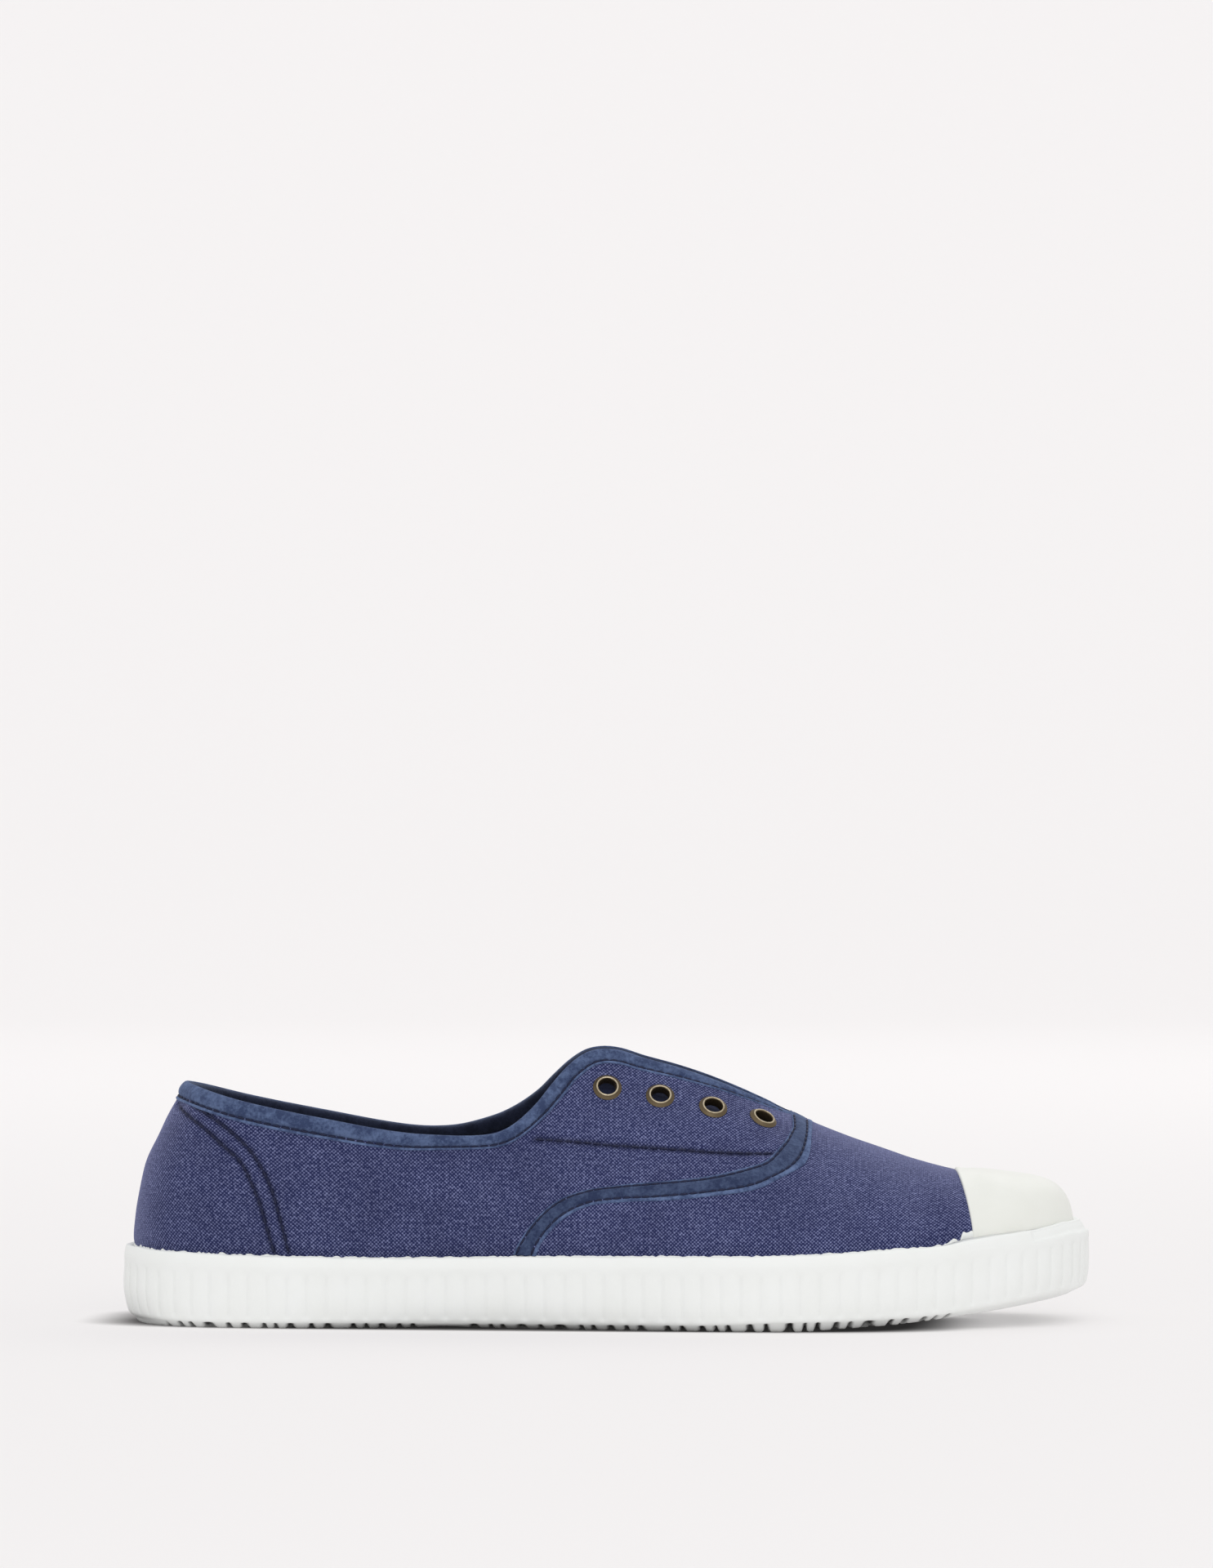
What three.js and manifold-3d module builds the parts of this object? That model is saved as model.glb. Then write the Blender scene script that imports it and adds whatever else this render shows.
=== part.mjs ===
// Canvas slip-on sneaker with a moulded rubber cup sole and toe cap, right shoe, standing on its sole.
// Millimetres: +X runs from heel to toe, +Y to the inner side of the foot, +Z up, with z = 0 the floor.
import * as THREE from 'three';
import { mergeVertices } from 'three/addons/utils/BufferGeometryUtils.js';
import Module from 'manifold-3d';

const wasm = await Module();
wasm.setup();

// ---- Driving dimensions -------------------------------------------------------------------------

const WALL = 1.8; // canvas, interlining and lining together
const GAP = 0.3; // clearance between neighbouring pieces
const CAP_THICKNESS = 1.2; // rubber toe cap
const CAP_EDGE_TOP = 92.6; // where the cap's rear edge crosses the top of the toe
const CAP_EDGE_SIDE = 95.6; // where it meets the sole
const TONGUE_THICKNESS = 1.4;
const TONGUE_BACK = -5;
const TONGUE_FRONT = 60;
const TONGUE_SINK = 3; // how far the tongue's form lies below the throat's edges
const TONGUE_CROWN = 0.5; // breadth of its rounded top, as a share of the section's width
const VAMP_FALL = 0.43; // fall of the top line in front of the throat, per millimetre
const TONGUE_SIDE = 0.6; // fraction up the wall at which the tongue's side edges lie
const INSOLE_THICKNESS = 3.5;
const THROAT_END = 50; // the throat closes here, on the top of the instep
const SPANS_PER_STATION = 3;
const UPPER_ROWS = 8;

// The last: one row for each station from heel to toe. The loop of outer and inner base points is the
// feather line, where the upper meets the cup of the sole. A wall section rises from each base point to
// the crest on the centreline as one curve. Above the collar the crest is only a guide for the section.
const LAST_COLUMNS = [
  'outerX', 'outerY', 'innerX', 'innerY', // base points of the two sides
  'floor', // height of the cup's floor
  'crestX', 'crestY', 'crestZ',
  'swell', // how far the wall swells out beyond its base
  'hip', // height at which it stops running straight up
  'crown', // breadth of the rounded top, as a share of the section's width
  'slope', // fall of that top towards the side
  'foxing', // thickness of the sole's sidewall outside the base point
];
const LAST_ROWS = [
  [-124.9, 0, -124.9, 0, 12, -87.5, 0, 112, 3.5, 58.7, 0.36, 50, 3.2],
  [-119.0, -17.0, -118.6, 18.0, 12, -86, 0, 112, 3.3, 57, 0.37, 47, 3.2],
  [-106.5, -25.8, -105, 27.0, 12, -83, 0, 111, 2.8, 49, 0.48, 34, 3.3],
  [-88, -29.4, -86, 28.6, 11.8, -77, 0, 109, 2.6, 40, 0.66, 22, 3.5],
  [-66, -30.0, -64, 27.4, 11.4, -63, 0, 105, 2.4, 35, 0.76, 17, 3.6],
  [-44, -30.6, -43, 26.2, 11, -43.5, 0.3, 98, 2.2, 34, 0.78, 15, 3.6],
  [-25, -32.4, -25, 26.6, 10.8, -25, 0.6, 92, 1.8, 34, 0.62, 14, 3.6],
  [-12, -34.6, -12, 28.2, 10.6, -12, 0.9, 89, 1.2, 36, 0.42, 12, 3.6],
  [0, -36.8, 0, 30.6, 10.5, 0, 1.2, 86, 0.6, 38, 0.3, 10, 3.6],
  [13, -39.2, 13, 34, 10.5, 13, 1.6, 78.5, 0.6, 36, 0.36, 8, 3.6],
  [27, -42.2, 27, 37.6, 10.5, 27, 2.2, 70.6, 1.0, 32, 0.46, 5, 3.6],
  [40, -44.2, 40, 40.6, 10.8, 40, 2.8, 61.6, 1.4, 29, 0.52, 2.5, 3.6],
  [50, -44.6, 50, 42, 11.2, 50, 3.2, 54.9, 1.6, 28, 0.55, 1, 3.7],
  [64, -43.2, 64, 42, 12, 64, 3.6, 48.9, 1.8, 27, 0.57, 0.6, 3.8],
  [80, -39.2, 80, 39.8, 12.8, 79, 4, 43.7, 1.8, 27, 0.6, 0.4, 4],
  [96, -32.6, 96, 35.6, 14, 89, 4, 40.6, 1.6, 27, 0.66, 0.3, 4.4],
  [110, -23, 110, 28, 15.2, 95, 4, 39.2, 1.2, 33, 0.75, 0.8, 4.9],
  [119.5, -10.5, 119.5, 17.5, 16, 98.5, 4, 38.6, 1.0, 36.5, 0.8, 1.5, 5.3],
  [122.7, 4, 122.7, 4, 16.2, 100, 4, 38.4, 0.9, 37.8, 0.82, 1.8, 5.5],
];

// Heights that belong to the length of the shoe: distance along it, then height.
const COLLAR_EDGE = [
  [-125, 67.5], [-111, 63.3], [-96, 59], [-74, 54.5], [-53, 50.9], [-41, 50.8], [-31, 53.2], [-24.8, 55.9],
  [-18.4, 60.3], [-14, 64.7], [-9.8, 68.6], [-5.5, 71.3], [-1, 72.2], [4, 71.7], [10, 69.8], [19, 67.3], [27.5, 64.4],
  [36, 60.9], [45, 56.8], [50, 54.9],
];
// The outer side's collar dips lower than the inner side's, just behind the facing.
const OUTER_DIP = { at: -26.5, width: 11.5, depth: 3.3 };
const RIM_EDGE = [
  [-128, 20.4], [-115, 19.8], [-86, 18.9], [-55, 18.5], [-21, 19], [22, 19.4], [52, 20], [75, 21.3], [86, 21.9],
  [98, 23.8], [113, 25.4], [123, 26.9],
];
const FOOT_EDGE = [
  [-128, 1], [-84, 0.8], [22, 0.9], [43, 1.7], [64, 2.2], [76, 2.7], [86, 3.4], [97, 4.9], [107, 6.3], [121, 8.3],
  [128, 9],
];
// The tread is moulded a little lower than the floor under heel and ball, then ground flat there.
const TREAD = [
  [-128, 0.2], [-116, -0.4], [-72, -0.4], [-52, 0.9], [-16, 0.9], [4, -0.4], [44, -0.4], [60, 0.7], [76, 1.7],
  [97, 4], [121, 7.4], [128, 8.2],
];
const GROOVES = [-106, -94, -82, -62, -46, -30, -14, 2, 14, 26, 38, 50, 62, 74, 86, 98, 110];
const GROOVE = { width: 3, depth: 1.5, margin: 5 };

const EYELETS = [
  { x: 0.2, z: 62.4 },
  { x: 14.1, z: 60.2 },
  { x: 28.0, z: 57.3 },
  { x: 41.2, z: 54.2 },
];
const EYELET = { hole: 4.7, barrel: 5.3, flange: 7.3, clench: 0.5, rise: 0.8, sheet: 0.4, holeInCanvas: 5.9 };

// Moves the origin to the middle of the shoe's box.
const CENTRE = { x: 0.05, y: -1.15 };

// ---- Curves ----------------------------------------------------------------------------------------

const stationCount = LAST_ROWS.length;
const loopLength = 2 * (stationCount - 1); // outer side heel to toe, then the inner side back to the heel

const lastStation = (index) => {
  const wrapped = ((index % loopLength) + loopLength) % loopLength;
  const inner = wrapped > stationCount - 1;
  const row = LAST_ROWS[inner ? loopLength - wrapped : wrapped];
  const named = Object.fromEntries(LAST_COLUMNS.map((name, column) => [name, row[column]]));
  return { ...named, baseX: inner ? named.innerX : named.outerX, baseY: inner ? named.innerY : named.outerY };
};

const stationValues = ['baseX', 'baseY', ...LAST_COLUMNS.slice(4)];

// Closed Catmull-Rom curve through the stations: position q runs once round the feather line.
function lastAt(q) {
  const index = Math.floor(q);
  const f = q - index;
  const weights = [
    0.5 * (-f + 2 * f * f - f ** 3),
    0.5 * (2 - 5 * f * f + 3 * f ** 3),
    0.5 * (f + 4 * f * f - 3 * f ** 3),
    0.5 * (-f * f + f ** 3),
  ];
  const rows = [index - 1, index, index + 1, index + 2].map(lastStation);
  return Object.fromEntries(stationValues.map((name) => [
    name,
    rows.reduce((sum, row, k) => sum + weights[k] * row[name], 0),
  ]));
}

// Smooth height at a distance along the shoe, from a table of [distance, height].
function heightAlong(table, x) {
  const last = table.length - 1;
  if (x <= table[0][0]) return table[0][1];
  if (x >= table[last][0]) return table[last][1];
  const k = table.findIndex((row, i) => i < last && x < table[i + 1][0]);
  const slope = (i) => {
    const a = Math.max(i - 1, 0);
    const b = Math.min(i + 1, last);
    return (table[b][1] - table[a][1]) / (table[b][0] - table[a][0]);
  };
  const width = table[k + 1][0] - table[k][0];
  const f = (x - table[k][0]) / width;
  return (2 * f ** 3 - 3 * f * f + 1) * table[k][1] + (f ** 3 - 2 * f * f + f) * width * slope(k)
    + (3 * f * f - 2 * f ** 3) * table[k + 1][1] + (f ** 3 - f * f) * width * slope(k + 1);
}

const smoothStep = (from, to, x) => THREE.MathUtils.smoothstep(x, from, to);

// ---- The last's surface ------------------------------------------------------------------------------

// Point at position q round the shoe and share t of the way up the wall. A lower inner form, such as the
// tongue's, gives its own crest height, crown and slope.
function sectionPoint(q, t, form = {}) {
  const s = { ...lastAt(q), ...form };
  const reachX = s.crestX - s.baseX;
  const reachY = s.crestY - s.baseY;
  const reach = Math.hypot(reachX, reachY);
  const along = [0, -s.swell, reach * (1 - s.crown), reach];
  const heights = [s.floor, s.hip, s.crestZ - s.slope, s.crestZ];
  const bezier = [(1 - t) ** 3, 3 * t * (1 - t) ** 2, 3 * t * t * (1 - t), t ** 3];
  const u = bezier.reduce((sum, b, k) => sum + b * along[k], 0) / reach;
  const z = bezier.reduce((sum, b, k) => sum + b * heights[k], 0);
  return new THREE.Vector3(s.baseX + reachX * u, s.baseY + reachY * u, z);
}

// The way round is read a little below the crest, because the sections draw together there at the toe.
function rawNormal(q, t, form) {
  const dq = 0.02;
  const dt = 0.01;
  const below = Math.min(t, 0.96);
  const round = sectionPoint(q + dq, below, form).sub(sectionPoint(q - dq, below, form));
  const up = sectionPoint(q, Math.min(t + dt, 1), form).sub(sectionPoint(q, Math.max(t - dt, 0), form));
  return round.cross(up).normalize();
}

// On the crest the two sides share one normal.
function sectionNormal(q, t, form) {
  const normal = rawNormal(q, t, form);
  if (t > 0.999) normal.add(rawNormal(loopLength - q, t, form)).normalize();
  return normal;
}

const offsetPoint = (q, t, offset, form) => (
  sectionPoint(q, t, form).addScaledVector(sectionNormal(q, t, form), offset)
);

// Share of the wall at which the section first reaches a height given by a function of x.
function shareAtHeight(q, heightAt) {
  let low = 0;
  let high = 1;
  const above = (t) => {
    const point = sectionPoint(q, t);
    return point.z > heightAt(point.x);
  };
  if (!above(1)) return 1;
  for (let step = 0; step < 40; step += 1) {
    const middle = (low + high) / 2;
    if (above(middle)) high = middle;
    else low = middle;
  }
  return (low + high) / 2;
}

function collarHeight(q, x) {
  const onOuterSide = q > 0 && q < stationCount - 1;
  const dip = OUTER_DIP.depth * Math.exp(-(((x - OUTER_DIP.at) / OUTER_DIP.width) ** 2));
  return heightAlong(COLLAR_EDGE, x) - (onOuterSide ? dip : 0);
}

const edgeShare = (q) => (
  lastAt(q).crestX >= THROAT_END - 0.01 ? 1 : shareAtHeight(q, (x) => collarHeight(q, x))
);

// Position round the shoe where the crest, or another named distance, reaches x on one side.
function positionAtX(x, inner, name = 'crestX') {
  let low = 0;
  let high = stationCount - 1;
  for (let step = 0; step < 40; step += 1) {
    const middle = (low + high) / 2;
    if (lastAt(inner ? loopLength - middle : middle)[name] < x) low = middle;
    else high = middle;
  }
  return inner ? loopLength - low : low;
}

// Plan direction that points away from the shoe at the feather line.
function planNormal(q) {
  const before = lastAt(q - 0.05);
  const after = lastAt(q + 0.05);
  return new THREE.Vector2(after.baseY - before.baseY, before.baseX - after.baseX).normalize();
}

// ---- Meshes and solids ---------------------------------------------------------------------------------

// A closed surface from a grid of points: one row for each position round the shoe. Each row is a profile,
// open unless closedProfile is set, and leaveOut(i, j) drops the four-sided patch after point j of row i.
function gridSurface(grid, { closedProfile = false, leaveOut = () => false } = {}) {
  const rowCount = grid.length;
  const size = grid[0].length;
  const indices = [];
  for (let i = 0; i < rowCount; i += 1) {
    const next = (i + 1) % rowCount;
    for (let j = 0; j < (closedProfile ? size : size - 1); j += 1) {
      if (leaveOut(i, j)) continue;
      const k = (j + 1) % size;
      const [a, b, c, d] = [i * size + j, next * size + j, next * size + k, i * size + k];
      indices.push(a, b, c, a, c, d);
    }
  }
  return closedGeometry(grid.flat().flatMap((point) => point.toArray()), indices);
}

// Shared points are joined and triangles that have shrunk to a line are dropped.
function closedGeometry(positions, indices) {
  const raw = new THREE.BufferGeometry();
  raw.setAttribute('position', new THREE.Float32BufferAttribute(positions, 3));
  raw.setIndex(indices);
  const merged = mergeVertices(raw, 1e-3);
  const index = Array.from(merged.index.array);
  const kept = [];
  for (let k = 0; k < index.length; k += 3) {
    const [a, b, c] = index.slice(k, k + 3);
    if (a !== b && b !== c && c !== a) kept.push(a, b, c);
  }
  merged.setIndex(kept);
  return merged;
}

function toManifold(geometry) {
  const vertProperties = new Float32Array(geometry.attributes.position.array);
  const triVerts = new Uint32Array(geometry.index.array);
  return new wasm.Manifold(new wasm.Mesh({ numProp: 3, vertProperties, triVerts }));
}

// Edges shorter than a hundredth of a millimetre, left over by a cut, are closed up.
function fromManifold(solid) {
  const mesh = solid.simplify(0.01).getMesh();
  const geometry = new THREE.BufferGeometry();
  geometry.setAttribute('position', new THREE.BufferAttribute(new Float32Array(mesh.vertProperties), 3));
  geometry.setIndex(new THREE.BufferAttribute(new Uint32Array(mesh.triVerts), 1));
  return geometry;
}

function plainSolid(geometry, matrix) {
  const plain = geometry.clone().applyMatrix4(matrix);
  plain.deleteAttribute('normal');
  plain.deleteAttribute('uv');
  return toManifold(mergeVertices(plain, 1e-4));
}

const loopPositions = Array.from(
  { length: loopLength * SPANS_PER_STATION },
  (_, k) => k / SPANS_PER_STATION,
);

// The wall between two offsets of the last: up the outside, over the edge, down the inside and under.
// Where the wall closes over the toe there is no edge to go over, so that strip is left out.
function wallBetween(outerOffset, innerOffset) {
  const edges = loopPositions.map(edgeShare);
  const grid = loopPositions.map((q, i) => {
    const shares = Array.from({ length: UPPER_ROWS + 1 }, (_, r) => (r / UPPER_ROWS) * edges[i]);
    const outside = shares.map((t) => offsetPoint(q, t, outerOffset));
    const inside = shares.map((t) => offsetPoint(q, t, innerOffset)).reverse();
    return [...outside, ...inside];
  });
  const closedAbove = (i) => edges[i] === 1 && edges[(i + 1) % edges.length] === 1;
  return gridSurface(grid, {
    closedProfile: true,
    leaveOut: (i, j) => j === UPPER_ROWS && closedAbove(i),
  });
}

// ---- Upper, toe cap, tongue and insole -------------------------------------------------------------------

function eyeletPlace(eyelet, inner) {
  const q = positionAtX(eyelet.x, inner);
  const t = shareAtHeight(q, () => eyelet.z);
  return { point: sectionPoint(q, t), normal: sectionNormal(q, t) };
}

function placeMatrix({ point, normal }) {
  const turn = new THREE.Quaternion().setFromUnitVectors(new THREE.Vector3(0, 1, 0), normal);
  return new THREE.Matrix4().compose(point, turn, new THREE.Vector3(1, 1, 1));
}

function upperGeometry() {
  let solid = toManifold(wallBetween(0, -WALL));
  for (const inner of [false, true]) {
    for (const eyelet of EYELETS) {
      const radius = EYELET.holeInCanvas / 2;
      const punch = new THREE.CylinderGeometry(radius, radius, 4 * WALL, 12);
      solid = solid.subtract(plainSolid(punch, placeMatrix(eyeletPlace(eyelet, inner))));
    }
  }
  return fromManifold(solid);
}

function capGeometry() {
  const front = new THREE.Shape();
  front.moveTo(CAP_EDGE_SIDE, -60);
  front.lineTo(160, -60);
  front.lineTo(160, 60);
  front.lineTo(CAP_EDGE_SIDE, 60);
  front.lineTo(CAP_EDGE_SIDE, 36);
  front.quadraticCurveTo(2 * CAP_EDGE_TOP - CAP_EDGE_SIDE, 4, CAP_EDGE_SIDE, -30);
  front.closePath();
  const block = new THREE.ExtrudeGeometry(front, { depth: 100, bevelEnabled: false, curveSegments: 8 });
  const wall = toManifold(wallBetween(GAP + CAP_THICKNESS, 1.5 * GAP));
  return fromManifold(wall.intersect(plainSolid(block, new THREE.Matrix4())));
}

// The tongue's own form: a rounder arch, below the throat's edges and then close under the vamp.
const tongueForm = (x) => ({
  crestZ: heightAlong(COLLAR_EDGE, Math.min(x, THROAT_END)) - TONGUE_SINK
    - VAMP_FALL * Math.max(x - THROAT_END, 0),
  crown: TONGUE_CROWN,
  slope: 0.5,
});

function tongueGeometry() {
  const count = 14;
  const across = 7;
  const grid = [];
  for (let i = 0; i <= count; i += 1) {
    const x = THREE.MathUtils.lerp(TONGUE_BACK, TONGUE_FRONT, i / count);
    const outer = positionAtX(x, false);
    const form = tongueForm(x);
    const shares = Array.from({ length: across + 1 }, (_, j) => THREE.MathUtils.lerp(TONGUE_SIDE, 1, j / across));
    const half = (q, offset) => shares.map((t) => offsetPoint(q, t, offset, form));
    const arch = (offset) => [...half(outer, offset), ...half(loopLength - outer, offset).reverse().slice(1)];
    const top = arch(-WALL - GAP);
    const bottom = arch(-WALL - GAP - TONGUE_THICKNESS);
    grid.push([...top, ...bottom.reverse()]);
  }
  return cappedTube(grid);
}

// A tube of closed rings, with a fan of quads between the ring's two halves closing each end.
function cappedTube(grid) {
  const rings = grid.length;
  const size = grid[0].length;
  const indices = [];
  for (let i = 0; i < rings - 1; i += 1) {
    for (let j = 0; j < size; j += 1) {
      const a = i * size + j;
      const b = (i + 1) * size + j;
      const c = (i + 1) * size + ((j + 1) % size);
      const d = i * size + ((j + 1) % size);
      indices.push(a, b, c, a, c, d);
    }
  }
  for (let j = 0; j < size / 2 - 1; j += 1) {
    const opposite = size - 1 - j;
    indices.push(j, j + 1, opposite - 1, j, opposite - 1, opposite);
    const end = (rings - 1) * size;
    indices.push(end + j, end + opposite - 1, end + j + 1, end + j, end + opposite, end + opposite - 1);
  }
  return closedGeometry(grid.flat().flatMap((point) => point.toArray()), indices);
}

function insoleGeometry() {
  const grid = loopPositions.map((q) => {
    const s = lastAt(q);
    const topZ = s.floor + INSOLE_THICKNESS;
    const inside = (z) => {
      const point = offsetPoint(q, shareAtHeight(q, () => Math.max(z, s.floor + 0.2)), -WALL - 2 * GAP);
      return new THREE.Vector3(point.x, point.y, z);
    };
    const low = inside(s.floor);
    const high = inside(topZ);
    const spine = (z) => new THREE.Vector3(s.crestX, s.crestY, z);
    return [spine(s.floor), low, high, spine(topZ)];
  });
  return gridSurface(grid);
}

// ---- Sole --------------------------------------------------------------------------------------------------

function soleColumn(q) {
  const s = lastAt(q);
  const out = planNormal(q);
  const outline = (inset, z) => {
    const distance = s.foxing - inset;
    return new THREE.Vector3(s.baseX + out.x * distance, s.baseY + out.y * distance, z);
  };
  const edgeX = s.baseX + out.x * s.foxing;
  const rim = heightAlong(RIM_EDGE, edgeX);
  const foot = heightAlong(FOOT_EDGE, edgeX);
  const tread = (x) => heightAlong(TREAD, x);
  const toeLean = smoothStep(100, 126, edgeX);
  const heelLean = 1 - smoothStep(-127, -112, edgeX);
  const clearance = GAP + (GAP + CAP_THICKNESS) * smoothStep(85, 91, s.crestX + (s.baseX - s.crestX) * 0.6);
  const cupWall = (z) => offsetPoint(q, shareAtHeight(q, () => z), clearance);
  const cupFloor = s.floor - GAP;
  const spine = (z) => new THREE.Vector3(s.crestX, s.crestY, z);
  const bottomEdge = outline(4, tread(edgeX));
  const bottomMiddle = spine(tread(s.crestX)).lerp(bottomEdge, 0.5);
  bottomMiddle.z = tread(bottomMiddle.x);
  const wallTop = cupWall(rim - 0.6);
  const wallMiddle = cupWall((rim + s.floor) / 2);
  const wallLow = cupWall(s.floor + 0.2);
  wallLow.z = cupFloor;
  return [
    spine(tread(s.crestX)),
    bottomMiddle,
    bottomEdge,
    outline(1.6 + heelLean * 1.6, foot + 0.2),
    outline(0.35 + heelLean * 0.6, foot + 3),
    outline(0, foot + 6.5 + heelLean * 2),
    outline(0.1 + heelLean * 0.2, rim - 3.4),
    outline(0.3 + toeLean * 0.8 + heelLean * 0.3, rim - 1.2),
    outline(0.9 + toeLean * 1.6, rim),
    wallTop,
    wallMiddle,
    wallLow,
    wallLow.clone().lerp(spine(cupFloor), 0.5),
    spine(cupFloor),
  ];
}

function grooveCutter(x) {
  const outer = lastAt(positionAtX(x, false, 'baseX'));
  const inner = lastAt(positionAtX(x, true, 'baseX'));
  const length = inner.baseY - outer.baseY - 2 * GROOVE.margin;
  const height = 4 + GROOVE.depth;
  const top = Math.max(heightAlong(TREAD, x), 0) + GROOVE.depth;
  const box = new THREE.BoxGeometry(GROOVE.width, length, height);
  const matrix = new THREE.Matrix4().makeTranslation(x, (inner.baseY + outer.baseY) / 2, top - height / 2);
  return plainSolid(box, matrix);
}

function soleGeometry() {
  let solid = toManifold(gridSurface(loopPositions.map(soleColumn)));
  const floor = new THREE.BoxGeometry(400, 200, 20);
  solid = solid.subtract(plainSolid(floor, new THREE.Matrix4().makeTranslation(0, 0, -10)));
  for (const x of GROOVES) solid = solid.subtract(grooveCutter(x));
  return fromManifold(solid);
}

// ---- Eyelets -------------------------------------------------------------------------------------------------

// A flanged ring through the canvas: rounded flange outside, barrel, and a smaller clenched flange inside,
// which sits a little lower because the wall curves down around it.
function eyeletGeometry() {
  const hole = EYELET.hole / 2;
  const barrel = EYELET.barrel / 2;
  const flange = EYELET.flange / 2;
  const clench = barrel + EYELET.clench;
  const inside = -WALL - 2 * GAP;
  const profile = [
    [hole, inside - EYELET.sheet], [clench, inside - EYELET.sheet], [clench, inside], [barrel, inside],
    [barrel, GAP], [flange, GAP], [(flange + hole) / 2, GAP + EYELET.rise], [hole, GAP + EYELET.sheet],
  ].map(([radius, height]) => new THREE.Vector2(radius, height));
  profile.push(profile[0].clone());
  const lathe = new THREE.LatheGeometry(profile, 12);
  lathe.deleteAttribute('normal');
  lathe.deleteAttribute('uv');
  return mergeVertices(lathe, 1e-4);
}

// ---- Assembly --------------------------------------------------------------------------------------------------

const material = (color, roughness, metalness = 0) => (
  new THREE.MeshStandardMaterial({ color, roughness, metalness })
);
const materials = {
  rubber: material('#e9e8e2', 0.5),
  canvas: material('#3c4766', 0.95),
  lining: material('#22252f', 0.95),
  brass: material('#a1733a', 0.35, 1),
};

function namedMesh(name, geometry, finish) {
  const mesh = new THREE.Mesh(geometry, finish);
  mesh.name = name;
  return mesh;
}

const shoe = new THREE.Group();
shoe.add(
  namedMesh('sole', soleGeometry(), materials.rubber),
  namedMesh('upper', upperGeometry(), materials.canvas),
  namedMesh('toe_cap', capGeometry(), materials.rubber),
  namedMesh('tongue', tongueGeometry(), materials.canvas),
  namedMesh('insole', insoleGeometry(), materials.lining),
);

for (const inner of [false, true]) {
  EYELETS.forEach((eyelet, k) => {
    const ring = namedMesh(`eyelet_${inner ? 'inner' : 'outer'}_${k + 1}`, eyeletGeometry(), materials.brass);
    ring.applyMatrix4(placeMatrix(eyeletPlace(eyelet, inner)));
    shoe.add(ring);
  });
}

shoe.position.set(-CENTRE.x, -CENTRE.y, 0);

export default shoe;
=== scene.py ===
# Canvas slip-on sneaker with a moulded white rubber sole and toe cap, a right shoe standing on its sole.
# Every visible piece is a surface worked out from the shoe's own last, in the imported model's frame.
import math
import bmesh
import bpy
import numpy as np
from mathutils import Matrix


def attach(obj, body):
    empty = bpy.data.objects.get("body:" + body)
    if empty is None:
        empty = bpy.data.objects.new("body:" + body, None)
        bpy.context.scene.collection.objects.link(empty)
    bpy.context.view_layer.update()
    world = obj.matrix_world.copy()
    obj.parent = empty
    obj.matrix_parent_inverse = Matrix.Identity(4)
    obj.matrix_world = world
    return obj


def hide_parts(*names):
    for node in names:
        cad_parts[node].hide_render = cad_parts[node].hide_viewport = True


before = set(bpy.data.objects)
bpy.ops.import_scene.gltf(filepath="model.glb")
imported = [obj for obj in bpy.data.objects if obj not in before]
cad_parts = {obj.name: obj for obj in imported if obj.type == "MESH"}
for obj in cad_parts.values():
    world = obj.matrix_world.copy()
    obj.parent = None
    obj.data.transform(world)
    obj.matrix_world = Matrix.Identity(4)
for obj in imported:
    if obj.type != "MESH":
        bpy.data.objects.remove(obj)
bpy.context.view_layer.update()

# Tables are in millimetres on the last: x from heel to toe, y to the inner side of the foot, z up.
mm = 0.001
lastCentre = np.array([0.05, -1.15, 0.0])  # the middle of the shoe's box


def toFrame(points):
    # millimetres on the last to metres in the frame
    return (points - lastCentre) * mm


# camera, stage and light

view = {
    "eye": (0.0, -2060.0, 142.2),  # level, and square to the shoe's side
    "tall": 415.7,  # height seen at the shoe's middle plane
    "sensor": 36.0, "farthest": 50.0,
}
studio = {
    "paper": "#F5F3F3", "grey": "#C0BEBE",
    "glow": 0.41,  # share of the paper's brightness that is its own, so it stays even
    # the painted shadow on the floor where the shoe stands, a darker grey with almost no glow: middle, half
    # axes, turn in degrees, where it fades out as a share of the half axes squared, and its colour and glow
    "paintedShadow": {"middle": -0.020, "across": 0.116, "deep": 0.0405, "turn": -7.0, "fade": (0.75, 1.1),
        "grey": "#706E6E", "glow": 0.02},
    "floorFront": -3.2, "floorBack": 2.6, "halfWidth": 4.5, "bend": 1.1, "bendSteps": 25, "wallTop": 4.0,
    "world": 0.79,
    "lights": (
        # soft boxes in metres: name, place, target, width, height, watts
        ("top_box", (0.1, -0.35, 2.1), (0.0, 0.0, 0.0), 1.8, 1.4, 3.5),
        ("front_box", (0.15, -2.6, 1.3), (0.0, 0.0, 0.03), 1.6, 1.2, 13.8),
        ("rear_box", (0.5, 1.9, 1.4), (0.0, 0.0, 0.03), 1.6, 1.0, 4.0),
        ("wall_wash", (0.0, 1.6, 2.6), (0.0, 3.7, 0.9), 5.0, 0.6, 21.0),
    ),
}


def linearColour(text):
    # sRGB hex to linear light, with an opaque alpha
    parts = [int(text[i:i + 2], 16) / 255 for i in (1, 3, 5)]
    return tuple(c / 12.92 if c <= 0.04045 else ((c + 0.055) / 1.055) ** 2.4 for c in parts) + (1.0,)


def addNode(tree, kind, inputs=None, **settings):
    # a node with its settings, and each input either linked from a socket or given a value
    node = tree.nodes.new(kind)
    for key, value in settings.items():
        setattr(node, key, value)
    for key, value in (inputs or {}).items():
        if isinstance(value, bpy.types.NodeSocket):
            tree.links.new(value, node.inputs[key])
        else:
            node.inputs[key].default_value = value
    return node


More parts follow.
